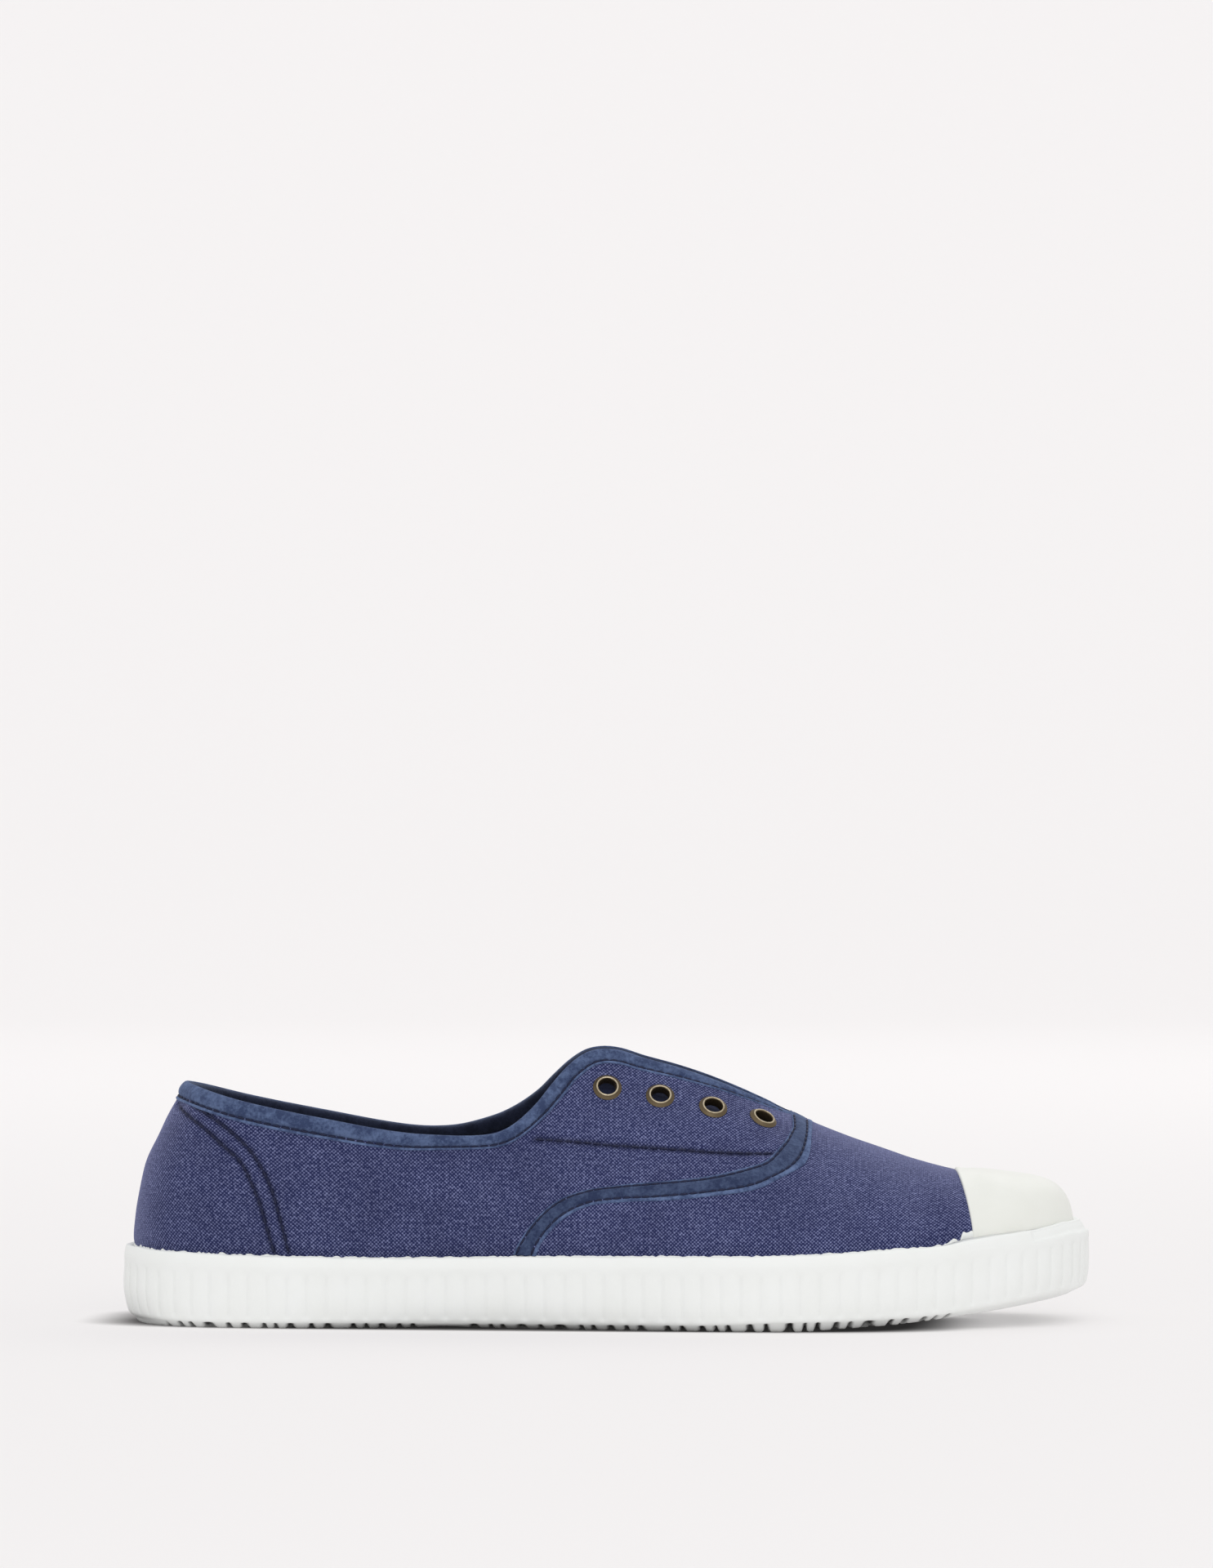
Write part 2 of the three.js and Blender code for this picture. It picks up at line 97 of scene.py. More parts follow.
def newMaterial(name, values, onCloth=False):
    # a Principled shader with these values; returns what the material's own function needs to go on, and
    # the coordinates of its patterns: metres on the piece, or millimetres on its cloth
    material = bpy.data.materials.new(name)
    material.use_nodes = True
    tree = material.node_tree
    tree.nodes.clear()
    shader = addNode(tree, "ShaderNodeBsdfPrincipled", values)
    addNode(tree, "ShaderNodeOutputMaterial", {"Surface": shader.outputs[0]})
    if onCloth:
        place = addNode(tree, "ShaderNodeUVMap", uv_map="cloth").outputs[0]
    else:
        place = addNode(tree, "ShaderNodeTexCoord").outputs["Object"]
    return material, tree, shader, place


def dress(tree, shader, share, low, high, towards=None, relief=None):
    # base colour from low to high by a share, then towards a darker one by the mesh's own share of dark;
    # relief is a height socket, a strength and the depth of its bumps in metres
    steps = [(share, high)]
    if towards:
        steps.append((addNode(tree, "ShaderNodeAttribute", attribute_name="dark").outputs["Fac"], towards))
    colour = linearColour(low) if isinstance(low, str) else low
    for by, end in steps:
        colour = addNode(tree, "ShaderNodeMix", {0: by, 6: colour, 7: linearColour(end)},
            data_type="RGBA").outputs[2]
    tree.links.new(colour, shader.inputs["Base Color"])
    if relief:
        height, strength, depth = relief
        bump = addNode(tree, "ShaderNodeBump", {"Height": height, "Strength": strength, "Distance": depth})
        tree.links.new(bump.outputs[0], shader.inputs["Normal"])


def aim(thing, place, target):
    # tilt from straight down by the angle to the target, then turn towards it
    direction = np.array(target) - np.array(place)
    level = math.hypot(direction[0], direction[1])
    thing.location = place
    thing.rotation_euler = (math.atan2(level, -direction[2]), 0, math.atan2(-direction[0], direction[1]))


def setCamera():
    # focal length = sensor width x distance / height seen there
    camera = bpy.data.cameras.new("camera")
    camera.sensor_width = view["sensor"]
    distance = -view["eye"][1]
    camera.lens = view["sensor"] * distance / view["tall"]
    camera.clip_end = view["farthest"]
    thing = bpy.data.objects.new("camera", camera)
    bpy.context.scene.collection.objects.link(thing)
    thing.location = toFrame(np.array(view["eye"]))
    thing.rotation_euler = (math.pi / 2, 0, 0)
    bpy.context.scene.camera = thing


def gridFaces(rows, columns, first=0):
    # the corners of each cell of a grid of points that are numbered row by row
    index = first + np.arange(rows * columns).reshape(rows, columns)
    return np.stack([index[:-1, :-1], index[1:, :-1], index[1:, 1:], index[:-1, 1:]], -1)


def paperSweep():
    # a level floor, a quarter circle and an upright wall: one profile carried sideways
    bend = studio["bend"]
    turn = np.linspace(0, math.pi / 2, studio["bendSteps"])
    back = studio["floorBack"]
    along = np.concatenate([[studio["floorFront"]], back + bend * np.sin(turn), [back + bend]])
    height = np.concatenate([[0], bend - bend * np.cos(turn), [studio["wallTop"]]])
    side = np.array([-studio["halfWidth"], studio["halfWidth"]])
    grid = np.stack(np.broadcast_arrays(side[:, None], along[None], height[None]), -1)
    mesh = bpy.data.meshes.new("paper_sweep")
    mesh.from_pydata(grid.reshape(-1, 3), [], gridFaces(*grid.shape[:2]).reshape(-1, 4), shade_flat=False)
    sweep = bpy.data.objects.new("paper_sweep", mesh)
    bpy.context.scene.collection.objects.link(sweep)
    # matt studio paper: no gloss, and part of its light its own, except in a painted shadow where the shoe
    # stands on it, which is also painted a darker grey
    material, tree, shader, place = newMaterial("matt_studio_paper", {
        "Roughness": 1.0, "Specular IOR Level": 0.0, "Emission Color": linearColour(studio["paper"]),
    })
    foot = studio["paintedShadow"]
    scaled = addNode(tree, "ShaderNodeMapping", {
        "Vector": place, "Location": (foot["middle"], 0, 0),
        "Rotation": (0, 0, math.radians(foot["turn"])), "Scale": (foot["across"], foot["deep"], 1),
    }, vector_type="TEXTURE")
    squares = addNode(tree, "ShaderNodeVectorMath", {0: scaled.outputs[0], 1: scaled.outputs[0]},
        operation="MULTIPLY")
    away = addNode(tree, "ShaderNodeVectorMath", {0: squares.outputs[0]}, operation="LENGTH")
    clear = addNode(tree, "ShaderNodeMapRange", {
        "Value": away.outputs["Value"], "From Min": foot["fade"][0], "From Max": foot["fade"][1],
    }, interpolation_type="SMOOTHSTEP")
    # painted shadow: under the shoe the paper's glow falls to a small share and its colour to a darker grey
    own = addNode(tree, "ShaderNodeMapRange", {
        "Value": clear.outputs[0], "To Min": foot["glow"], "To Max": studio["glow"],
    })
    tree.links.new(own.outputs[0], shader.inputs["Emission Strength"])
    dress(tree, shader, clear.outputs[0], foot["grey"], studio["grey"])
    mesh.materials.append(material)


def studioLight():
    # an even white room, and the soft boxes
    scene = bpy.context.scene
    scene.view_settings.view_transform = "Standard"
    scene.view_settings.look = "None"
    world = bpy.data.worlds.new("studio")
    world.use_nodes = True
    world.node_tree.nodes["Background"].inputs["Color"].default_value = (1, 1, 1, 1)
    world.node_tree.nodes["Background"].inputs["Strength"].default_value = studio["world"]
    scene.world = world
    for name, place, target, width, height, watts in studio["lights"]:
        light = bpy.data.lights.new(name, "AREA")
        light.shape = "RECTANGLE"
        light.size, light.size_y, light.energy = width, height, watts
        thing = bpy.data.objects.new(name, light)
        scene.collection.objects.link(thing)
        aim(thing, place, target)


setCamera()
paperSweep()
studioLight()
print("camera, paper and lights are up")


# The last is the form that the whole shoe is made over: one row for each station from heel to toe. A wall
# section rises from each base point on the feather line, where upper meets sole, to the crest on the
# centreline.
stations = np.array([
    # outer x, y, inner x, y, cup floor, crest x, y, z, swell, hip, crown, slope, foxing
    (-124.9, 0, -124.9, 0, 12, -87.5, 0, 112, 3.5, 58.7, 0.36, 50, 3.2),
    (-119.0, -17.0, -118.6, 18.0, 12, -86, 0, 112, 3.3, 57, 0.37, 47, 3.2),
    (-106.5, -25.8, -105, 27.0, 12, -83, 0, 111, 2.8, 49, 0.48, 34, 3.3),
    (-88, -29.4, -86, 28.6, 11.8, -77, 0, 109, 2.6, 40, 0.66, 22, 3.5),
    (-66, -30.0, -64, 27.4, 11.4, -63, 0, 105, 2.4, 35, 0.76, 17, 3.6),
    (-44, -30.6, -43, 26.2, 11, -43.5, 0.3, 98, 2.2, 34, 0.78, 15, 3.6),
    (-25, -32.4, -25, 26.6, 10.8, -25, 0.6, 92, 1.8, 34, 0.62, 14, 3.6),
    (-12, -34.6, -12, 28.2, 10.6, -12, 0.9, 89, 1.2, 36, 0.42, 12, 3.6),
    (0, -36.8, 0, 30.6, 10.5, 0, 1.2, 86, 0.6, 38, 0.3, 10, 3.6),
    (13, -39.2, 13, 34, 10.5, 13, 1.6, 78.5, 0.6, 36, 0.36, 8, 3.6),
    (27, -42.2, 27, 37.6, 10.5, 27, 2.2, 70.6, 1.0, 32, 0.46, 5, 3.6),
    (40, -44.2, 40, 40.6, 10.8, 40, 2.8, 61.6, 1.4, 29, 0.52, 2.5, 3.6),
    (50, -44.6, 50, 42, 11.2, 50, 3.2, 54.9, 1.6, 28, 0.55, 1, 3.7),
    (64, -43.2, 64, 42, 12, 64, 3.6, 48.9, 1.8, 27, 0.57, 0.6, 3.8),
    (80, -39.2, 80, 39.8, 12.8, 79, 4, 43.7, 1.8, 27, 0.6, 0.4, 4),
    (96, -32.6, 96, 35.6, 14, 89, 4, 40.6, 1.6, 27, 0.66, 0.3, 4.4),
    (110, -23, 110, 28, 15.2, 95, 4, 39.2, 1.2, 33, 0.75, 0.8, 4.9),
    (119.5, -10.5, 119.5, 17.5, 16, 98.5, 4, 38.6, 1.0, 36.5, 0.8, 1.5, 5.3),
    (122.7, 4, 122.7, 4, 16.2, 100, 4, 38.4, 0.9, 37.8, 0.82, 1.8, 5.5),
])
toeStation = len(stations) - 1
loopLength = 2 * toeStation  # outer side heel to toe, then the inner side back to the heel
throatStation = 12  # the throat closes here, on the instep
zeroStation = 8  # x is 0 here
halvings = 32  # steps of a search by halves
loopRows = np.concatenate([
    np.delete(stations, [2, 3], axis=1),
    np.delete(stations, [0, 1], axis=1)[toeStation - 1:0:-1],
])
valueNames = ("x", "y", "floor", "crestX", "crestY", "crestZ", "swell", "hip", "crown", "slope", "foxing")

# edges as distance along the shoe, then height
collarEdge = np.array([
    (-125, 67.5), (-111, 63.3), (-96, 59), (-74, 54.5), (-53, 50.9), (-41, 50.8), (-31, 53.2), (-24.8, 55.9),
    (-18.4, 60.3), (-14, 64.7), (-9.8, 68.6), (-5.5, 71.3), (-1, 72.2), (4, 71.7), (10, 69.8), (19, 67.3),
    (27.5, 64.4), (36, 60.9), (45, 56.8), (50, 54.9),
])
outerDip = {"at": -26.5, "width": 11.5, "depth": 3.3}  # the outer side's collar dips lower, behind the facing
rimEdge = np.array([  # top of the sole's side
    (-128, 20.4), (-115, 19.8), (-86, 18.9), (-55, 18.5), (-21, 19), (22, 19.4), (52, 20), (75, 21.3),
    (86, 21.9), (98, 23.8), (113, 25.4), (123, 26.9),
])
footEdge = np.array([  # where the side has turned under
    (-128, 1), (-84, 0.8), (22, 0.9), (43, 1.7), (64, 2.2), (76, 2.7), (86, 3.4), (97, 4.9), (107, 6.3),
    (121, 8.3), (128, 9),
])
treadEdge = np.array([  # the tread; what would lie below 0 is flat on the floor
    (-128, 0.2), (-116, -0.4), (-72, -0.4), (-52, 0.2), (-42, 0.6), (-32, 0.2), (-16, 0.1), (4, -0.4),
    (44, -0.4), (60, 0.7), (76, 1.7), (97, 4), (121, 7.4), (128, 8.2),
])
upperMake = {
    "wall": 1.8,  # canvas and lining together
    "gap": 0.3,  # clearance between neighbouring pieces
    "capThickness": 1.2,
    "capEdgeTop": 92.6, "capEdgeSide": 95.6,  # where the cap's rear edge lies, on top and at the sole
}


def smoothStep(low, high, x):
    # 0 at low, 1 at high and 3f^2 - 2f^3 between; it falls where low lies above high
    f = np.clip((x - low) / (high - low), 0, 1)
    return f * f * (3 - 2 * f)


def unit(vectors):
    # each vector over its own length
    return vectors / np.maximum(np.linalg.norm(vectors, axis=-1, keepdims=True), 1e-12)


def dot(a, b):
    # sum of the products of the vectors' parts
    return (a * b).sum(-1)


def heightAlong(table, x):
    # cubic between the table's rows, with each row's slope taken from its two neighbours
    x = np.clip(x, table[0, 0], table[-1, 0])
    last = len(table) - 1
    k = np.clip(np.searchsorted(table[:, 0], x, side="right") - 1, 0, last - 1)
    before, after = np.maximum(np.arange(last + 1) - 1, 0), np.minimum(np.arange(last + 1) + 1, last)
    slopes = (table[after, 1] - table[before, 1]) / (table[after, 0] - table[before, 0])
    width = table[k + 1, 0] - table[k, 0]
    f = (x - table[k, 0]) / width
    return ((2 * f**3 - 3 * f * f + 1) * table[k, 1] + (f**3 - 2 * f * f + f) * width * slopes[k]
        + (3 * f * f - 2 * f**3) * table[k + 1, 1] + (f**3 - f * f) * width * slopes[k + 1])


def lastAt(q):
    # closed Catmull-Rom curve through the stations, for each named value, at position q round the shoe
    q = np.asarray(q, float)
    i = np.floor(q).astype(int)
    f = (q - i)[..., None]
    weights = (
        0.5 * (-f + 2 * f * f - f**3), 0.5 * (2 - 5 * f * f + 3 * f**3),
        0.5 * (f + 4 * f * f - 3 * f**3), 0.5 * (f**3 - f * f),
    )
    values = sum(weights[k] * loopRows[(i + k - 1) % loopLength] for k in range(4))
    return {name: values[..., column] for column, name in enumerate(valueNames)}


def sectionPoint(q, t, **form):
    # share t of the way up the wall section: a cubic Bezier that starts upright, swells and closes in
    s = {**lastAt(q), **form}
    reachX, reachY = s["crestX"] - s["x"], s["crestY"] - s["y"]
    reach = np.hypot(reachX, reachY)
    bezier = ((1 - t)**3, 3 * t * (1 - t)**2, 3 * t * t * (1 - t), t**3)
    inward = (-bezier[1] * s["swell"] + bezier[2] * reach * (1 - s["crown"]) + bezier[3] * reach) / reach
    z = (bezier[0] * s["floor"] + bezier[1] * s["hip"] + bezier[2] * (s["crestZ"] - s["slope"])
        + bezier[3] * s["crestZ"])
    return np.stack(np.broadcast_arrays(s["x"] + reachX * inward, s["y"] + reachY * inward, z), -1)


def sectionNormal(q, t, **form):
    # across the way round and the way up; near the crest both sides come to share one normal
    q, t = np.broadcast_arrays(np.asarray(q, float), np.asarray(t, float))
    below = np.minimum(t, 0.96)

    def oneSide(at):
        wayRound = sectionPoint(at + 0.02, below, **form) - sectionPoint(at - 0.02, below, **form)
        wayUp = (sectionPoint(at, np.minimum(t + 0.01, 1), **form)
            - sectionPoint(at, np.maximum(t - 0.01, 0), **form))
        return unit(np.cross(wayRound, wayUp))

    shared = 0.5 * smoothStep(0.95, 1, t)[..., None]
    return unit(oneSide(q) * (1 - shared) + oneSide(loopLength - q) * shared)


def onLast(q, t, offset=0.0, **form):
    # the wall's point moved along its own normal
    return sectionPoint(q, t, **form) + sectionNormal(q, t, **form) * np.asarray(offset)[..., None]


def shareWhere(q, above):
    # halving steps to the lowest share of the wall where above(point) holds, or 1 where it never does
    q = np.asarray(q, float)
    low, high = np.zeros(q.shape), np.ones(q.shape)
    reached = above(sectionPoint(q, high))
    for step in range(halvings):
        middle = (low + high) / 2
        isAbove = above(sectionPoint(q, middle))
        low, high = np.where(isAbove, low, middle), np.where(isAbove, middle, high)
    return np.where(reached, (low + high) / 2, 1.0)


def sideOf(q):
    # position counted from the heel on either side
    return np.minimum(np.mod(q, loopLength), loopLength - np.mod(q, loopLength))


def collarHeight(q, x):
    # the edge's table, less a bell-shaped dip on the outer side
    onOuterSide = np.mod(q, loopLength) < toeStation
    dip = outerDip["depth"] * np.exp(-((x - outerDip["at"]) / outerDip["width"])**2)
    return heightAlong(collarEdge, x) - np.where(onOuterSide, dip, 0)


def edgeShare(q):
    # where the wall meets the collar's edge; from the throat's end forwards the wall is closed
    share = shareWhere(q, lambda p: p[..., 2] > collarHeight(q, p[..., 0]))
    return np.where(sideOf(q) >= throatStation - 1e-9, 1.0, share)


def positionAtX(x, inner=False, name="crestX"):
    # station position, on one side, where the crest or the base point reaches x
    x = np.asarray(x, float)
    low, high = np.zeros(x.shape), np.full(x.shape, float(toeStation))
    for step in range(halvings):
        middle = (low + high) / 2
        behind = lastAt(loopLength - middle if inner else middle)[name] < x
        low, high = np.where(behind, middle, low), np.where(behind, high, middle)
    return loopLength - low if inner else low


def planNormal(q):
    # level and square to the feather line, outwards
    before, after = lastAt(q - 0.05), lastAt(q + 0.05)
    return unit(np.stack([after["y"] - before["y"], before["x"] - after["x"]], -1))


def pathLength(points):
    # running length along a row of points
    steps = np.linalg.norm(np.diff(points, axis=0), axis=-1)
    return np.concatenate([[0], np.cumsum(steps)])


def evenly(values, points, spacing):
    # the same path with its values read at even distances along its points
    length = pathLength(points)
    count = max(int(round(length[-1] / spacing)), 2)
    at = np.linspace(0, length[-1], count + 1)
    return np.stack([np.interp(at, length, column) for column in np.atleast_2d(values)]), at


def roundPositions(spacing):
    # positions heel, outer side, toe, inner side, heel; both sides alike, so that they meet on the crest
    halves = []
    for start, end in ((0, throatStation), (throatStation, toeStation)):
        q = np.linspace(start, end, 600)
        halves.append(evenly(q, sectionPoint(q, np.zeros(q.shape)), spacing)[0][0])
    side = np.concatenate([halves[0][:-1], halves[1]])
    return np.concatenate([side, loopLength - side[-2::-1]])


def findOnLast(xz, inner=False):
    # position and share of the points seen at x and z on one side: nearest on a coarse net, then Newton
    xz = np.asarray(xz, float)
    q, t = np.meshgrid(np.linspace(0.05, toeStation, 300), np.linspace(0, 0.99, 160), indexing="ij")
    q, t = q.ravel(), t.ravel()
    if inner:
        q = loopLength - q
    net = sectionPoint(q, t)[:, [0, 2]]
    nearest = np.argmin(((xz[:, None] - net[None]) ** 2).sum(-1), axis=1)
    q, t = q[nearest], t[nearest]
    for step in range(8):
        at = sectionPoint(q, t)[:, [0, 2]]
        byQ = (sectionPoint(q + 0.01, t)[:, [0, 2]] - at) / 0.01
        byT = (sectionPoint(q, t + 0.005)[:, [0, 2]] - at) / 0.005
        away = xz - at
        det = byQ[:, 0] * byT[:, 1] - byQ[:, 1] * byT[:, 0]
        det = np.where(np.abs(det) < 1e-3, 1e-3, det)
        q = q + np.clip((away[:, 0] * byT[:, 1] - away[:, 1] * byT[:, 0]) / det, -0.3, 0.3)
        t = np.clip(t + np.clip((byQ[:, 0] * away[:, 1] - byQ[:, 1] * away[:, 0]) / det, -0.05, 0.05), 0, 1)
    return np.stack([q, t])


def smoothCurve(points, count=24):
    # Catmull-Rom curve through a few points, given as columns
    p = np.concatenate([2 * points[:, :1] - points[:, 1:2], points, 2 * points[:, -1:] - points[:, -2:-1]], 1)
    f = np.linspace(0, 1, count, endpoint=False)
    spans = [
        0.5 * (2 * p[:, k, None] + (p[:, k + 1, None] - p[:, k - 1, None]) * f
            + (2 * p[:, k - 1, None] - 5 * p[:, k, None] + 4 * p[:, k + 1, None] - p[:, k + 2, None]) * f**2
            + (3 * p[:, k, None] - p[:, k - 1, None] - 3 * p[:, k + 1, None] + p[:, k + 2, None]) * f**3)
        for k in range(1, p.shape[1] - 2)
    ]
    return np.concatenate(spans + [p[:, -2:-1]], 1)


def walk(q, t, direction, distance):
    # the position reached by going a short way along a direction that lies in the surface
    byQ = (sectionPoint(q + 0.01, t) - sectionPoint(q - 0.01, t)) / 0.02
    byT = (sectionPoint(q, t + 0.005) - sectionPoint(q, t - 0.005)) / 0.01
    a, b, c = dot(byQ, byQ), dot(byQ, byT), dot(byT, byT)
    e, f = dot(byQ, direction), dot(byT, direction)
    det = np.maximum(a * c - b * b, 1e-6)
    return q + distance * (e * c - f * b) / det, t + distance * (f * a - e * b) / det


def ripple(s, wavelengths):
    # a few sines of unrelated wavelengths: an even unevenness between about -1 and 1
    waves = [np.sin(2 * math.pi * s / length + 1.7 * k) for k, length in enumerate(wavelengths)]
    return sum(waves) / len(waves)


# meshes

def sheet(points, cloth=None, keep=None, dark=0.0):
    # a grid of points whose faces look along (way from row to row) x (way from column to column)
    # dark is the share of the darker colour that each point takes: painted shade in ditches and tread
    # hollows, and a few darker tones of the cloth
    if cloth is None:
        rows = np.arange(points.shape[0], dtype=float)
        columns = np.arange(points.shape[1], dtype=float)
        cloth = np.stack(np.broadcast_arrays(rows[:, None], columns[None]), -1)
    return {"points": points, "cloth": cloth, "keep": keep, "dark": dark + np.zeros(points.shape[:2])}


def weldedObject(name, sheets):
    # joins the grids' four-sided faces into one smooth mesh and closes seams and poles by welding
    points, cloth, dark, faces, first = [], [], [], [], 0
    for part in sheets:
        rows, columns = part["points"].shape[:2]
        quads = gridFaces(rows, columns, first)
        faces.append((quads if part["keep"] is None else quads[part["keep"]]).reshape(-1, 4))
        points.append(part["points"].reshape(-1, 3))
        cloth.append(part["cloth"].reshape(-1, 2))
        dark.append(part["dark"].ravel())
        first += rows * columns
    points, cloth, faces = toFrame(np.concatenate(points)), np.concatenate(cloth), np.concatenate(faces)
    mesh = bpy.data.meshes.new(name)
    mesh.from_pydata(points, [], faces, shade_flat=False)
    layer = mesh.uv_layers.new(name="cloth")
    layer.uv.foreach_set("vector", cloth[faces.ravel()].astype(np.float32).ravel())
    shade = mesh.attributes.new("dark", "FLOAT", "POINT")
    shade.data.foreach_set("value", np.concatenate(dark).astype(np.float32))
    welded = bmesh.new()
    welded.from_mesh(mesh)
    bmesh.ops.remove_doubles(welded, verts=welded.verts, dist=2e-6)
    welded.to_mesh(mesh)
    welded.free()
    mesh.shade_smooth()
    piece = bpy.data.objects.new(name, mesh)
    bpy.context.scene.collection.objects.link(piece)
    return piece


def punch(piece, punches):
    # cuts the punches out of a closed shell and leaves the cut mesh, with no modifier on it
    cut = piece.modifiers.new("punch", "BOOLEAN")
    cut.operation, cut.solver, cut.object = "DIFFERENCE", "EXACT", punches
    shown = piece.evaluated_get(bpy.context.evaluated_depsgraph_get())
    mesh = bpy.data.meshes.new_from_object(shown)
    piece.modifiers.clear()
    piece.data = mesh


def makePiece(name, sheets, material, replaced=(), punches=None):
    # one finished piece on the shoe's body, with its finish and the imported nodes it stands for
    piece = weldedObject(name, sheets)
    if punches:
        punch(piece, punches)
    mesh = piece.data
    mesh.materials.clear()
    mesh.materials.append(material)
    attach(piece, "root")
    if replaced:
        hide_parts(*replaced)
    print(f"{name}: {sum(len(p.vertices) - 2 for p in mesh.polygons)} triangles")


def clothAlong(q, t):
    # how far along the shoe in mm: measured on the feather line below, and along the crest above
    arcQ = np.linspace(0, toeStation, 400)
    outerArc = pathLength(sectionPoint(arcQ, np.zeros(arcQ.shape)))
    innerArc = pathLength(sectionPoint(loopLength - arcQ, np.zeros(arcQ.shape)))
    wrapped = np.mod(q, loopLength)
    outer = np.interp(wrapped, arcQ, outerArc) - np.interp(zeroStation, arcQ, outerArc)
    inner = np.interp(loopLength - wrapped, arcQ, innerArc) - np.interp(zeroStation, arcQ, innerArc)
    base = np.where(wrapped <= toeStation, outer, inner)
    return base * (1 - t) + lastAt(q)["crestX"] * t


def wallGrid(q, t, points):
    # cloth coordinates for a grid of wall points, rows round the shoe and columns up the wall
    down = np.cumsum(np.linalg.norm(np.diff(points, axis=1), axis=-1), axis=1)
    down = np.concatenate([np.zeros((len(points), 1)), down], axis=1)
    return np.stack([clothAlong(q, t), down], -1)


# finishes

weave = {
    "pitch": 0.96,  # two threads of plain weave, so one thread is 0.48 mm
    # seam is where the canvas's dark share leads: painted shade in the stitched ditches, and the canvas
    # darker towards the heel; shade is the darker dye of the washing clouds
    "warp": "#1F2652", "weft": "#878DB8", "shade": "#181D40", "seam": "#0B0F2C", "sheen": "#A9AEDB",
    "slub": 7.0,  # length of a thick place in a thread
    "crossing": 0.8,  # size of the patches that take the dye alike, in mm
    "cloud": 0.014,  # size of the clouds left by washing, in metres
}


def clothPattern(tree, cloth):
    # plain weave: the product of one sine across and one along tells which thread lies on top, and
    # noise drawn out along each thread makes it thick and thin
    split = addNode(tree, "ShaderNodeSeparateXYZ", {0: cloth})
    waves = []
    for axis in (0, 1):
        scaled = addNode(tree, "ShaderNodeMath", {0: split.outputs[axis], 1: 2 * math.pi / weave["pitch"]},
            operation="MULTIPLY")
        waves.append(addNode(tree, "ShaderNodeMath", {0: scaled.outputs[0]}, operation="SINE").outputs[0])
    over = addNode(tree, "ShaderNodeMath", {0: waves[0], 1: waves[1]}, operation="MULTIPLY")
    threads = []
    narrow, drawnOut = 2 / weave["pitch"], 1 / weave["slub"]
    for scale in ((narrow, drawnOut, 1), (drawnOut, narrow, 1)):
        place = addNode(tree, "ShaderNodeMapping", {"Vector": cloth, "Scale": scale})
        threads.append(addNode(tree, "ShaderNodeTexNoise", {
            "Vector": place.outputs[0], "Scale": 1.0, "Detail": 2.0, "Roughness": 0.6,
        }).outputs[0])
    both = addNode(tree, "ShaderNodeMath", {0: threads[0], 1: threads[1]}, operation="ADD")
    return over.outputs[0], both.outputs[0]


def dyedCanvas():
    # garment-dyed cotton canvas: dry, matt, its paler weft showing as fine flecks, clouded by washing
    material, tree, shader, cloth = newMaterial("dyed_cotton_canvas", {
        "Roughness": 0.92, "Specular IOR Level": 0.25, "Sheen Weight": 0.65, "Sheen Roughness": 0.4,
        "Sheen Tint": linearColour(weave["sheen"]),
    }, onCloth=True)
    over, threads = clothPattern(tree, cloth)
    # each crossing takes the dye a little differently
    crossing = addNode(tree, "ShaderNodeTexNoise", {
        "Vector": cloth, "Scale": 1 / weave["crossing"], "Detail": 1.0,
    })
    uneven = addNode(tree, "ShaderNodeMath", {0: crossing.outputs[0], 1: 2.4, 2: threads},
        operation="MULTIPLY_ADD")
    fleck = addNode(tree, "ShaderNodeMath", {0: over, 1: uneven.outputs[0]}, operation="ADD")
    weftUp = addNode(tree, "ShaderNodeMapRange", {
        "Value": fleck.outputs[0], "From Min": 2.0, "From Max": 3.4,
    })
    yarn = addNode(tree, "ShaderNodeMix", {
        0: weftUp.outputs[0], 6: linearColour(weave["warp"]), 7: linearColour(weave["weft"]),
    }, data_type="RGBA")
    cloud = addNode(tree, "ShaderNodeTexNoise", {
        "Vector": addNode(tree, "ShaderNodeTexCoord").outputs["Object"], "Scale": 1 / weave["cloud"],
        "Detail": 4.0, "Roughness": 0.6,
    })
    worn = addNode(tree, "ShaderNodeMapRange", {
        "Value": cloud.outputs[0], "From Min": 0.35, "From Max": 0.7, "To Min": 0.0, "To Max": 0.3,
    })
    # threads stand about 0.1 mm over the ditches between them
    knuckle = addNode(tree, "ShaderNodeMath", {0: over}, operation="ABSOLUTE")
    height = addNode(tree, "ShaderNodeMath", {0: knuckle.outputs[0], 1: threads}, operation="MULTIPLY")
    # the dark share takes it towards the seam colour: painted shade in the stitched ditches
    dress(tree, shader, worn.outputs[0], yarn.outputs[2], weave["shade"], weave["seam"],
        (height.outputs[0], 0.55, 0.00012))
    return material


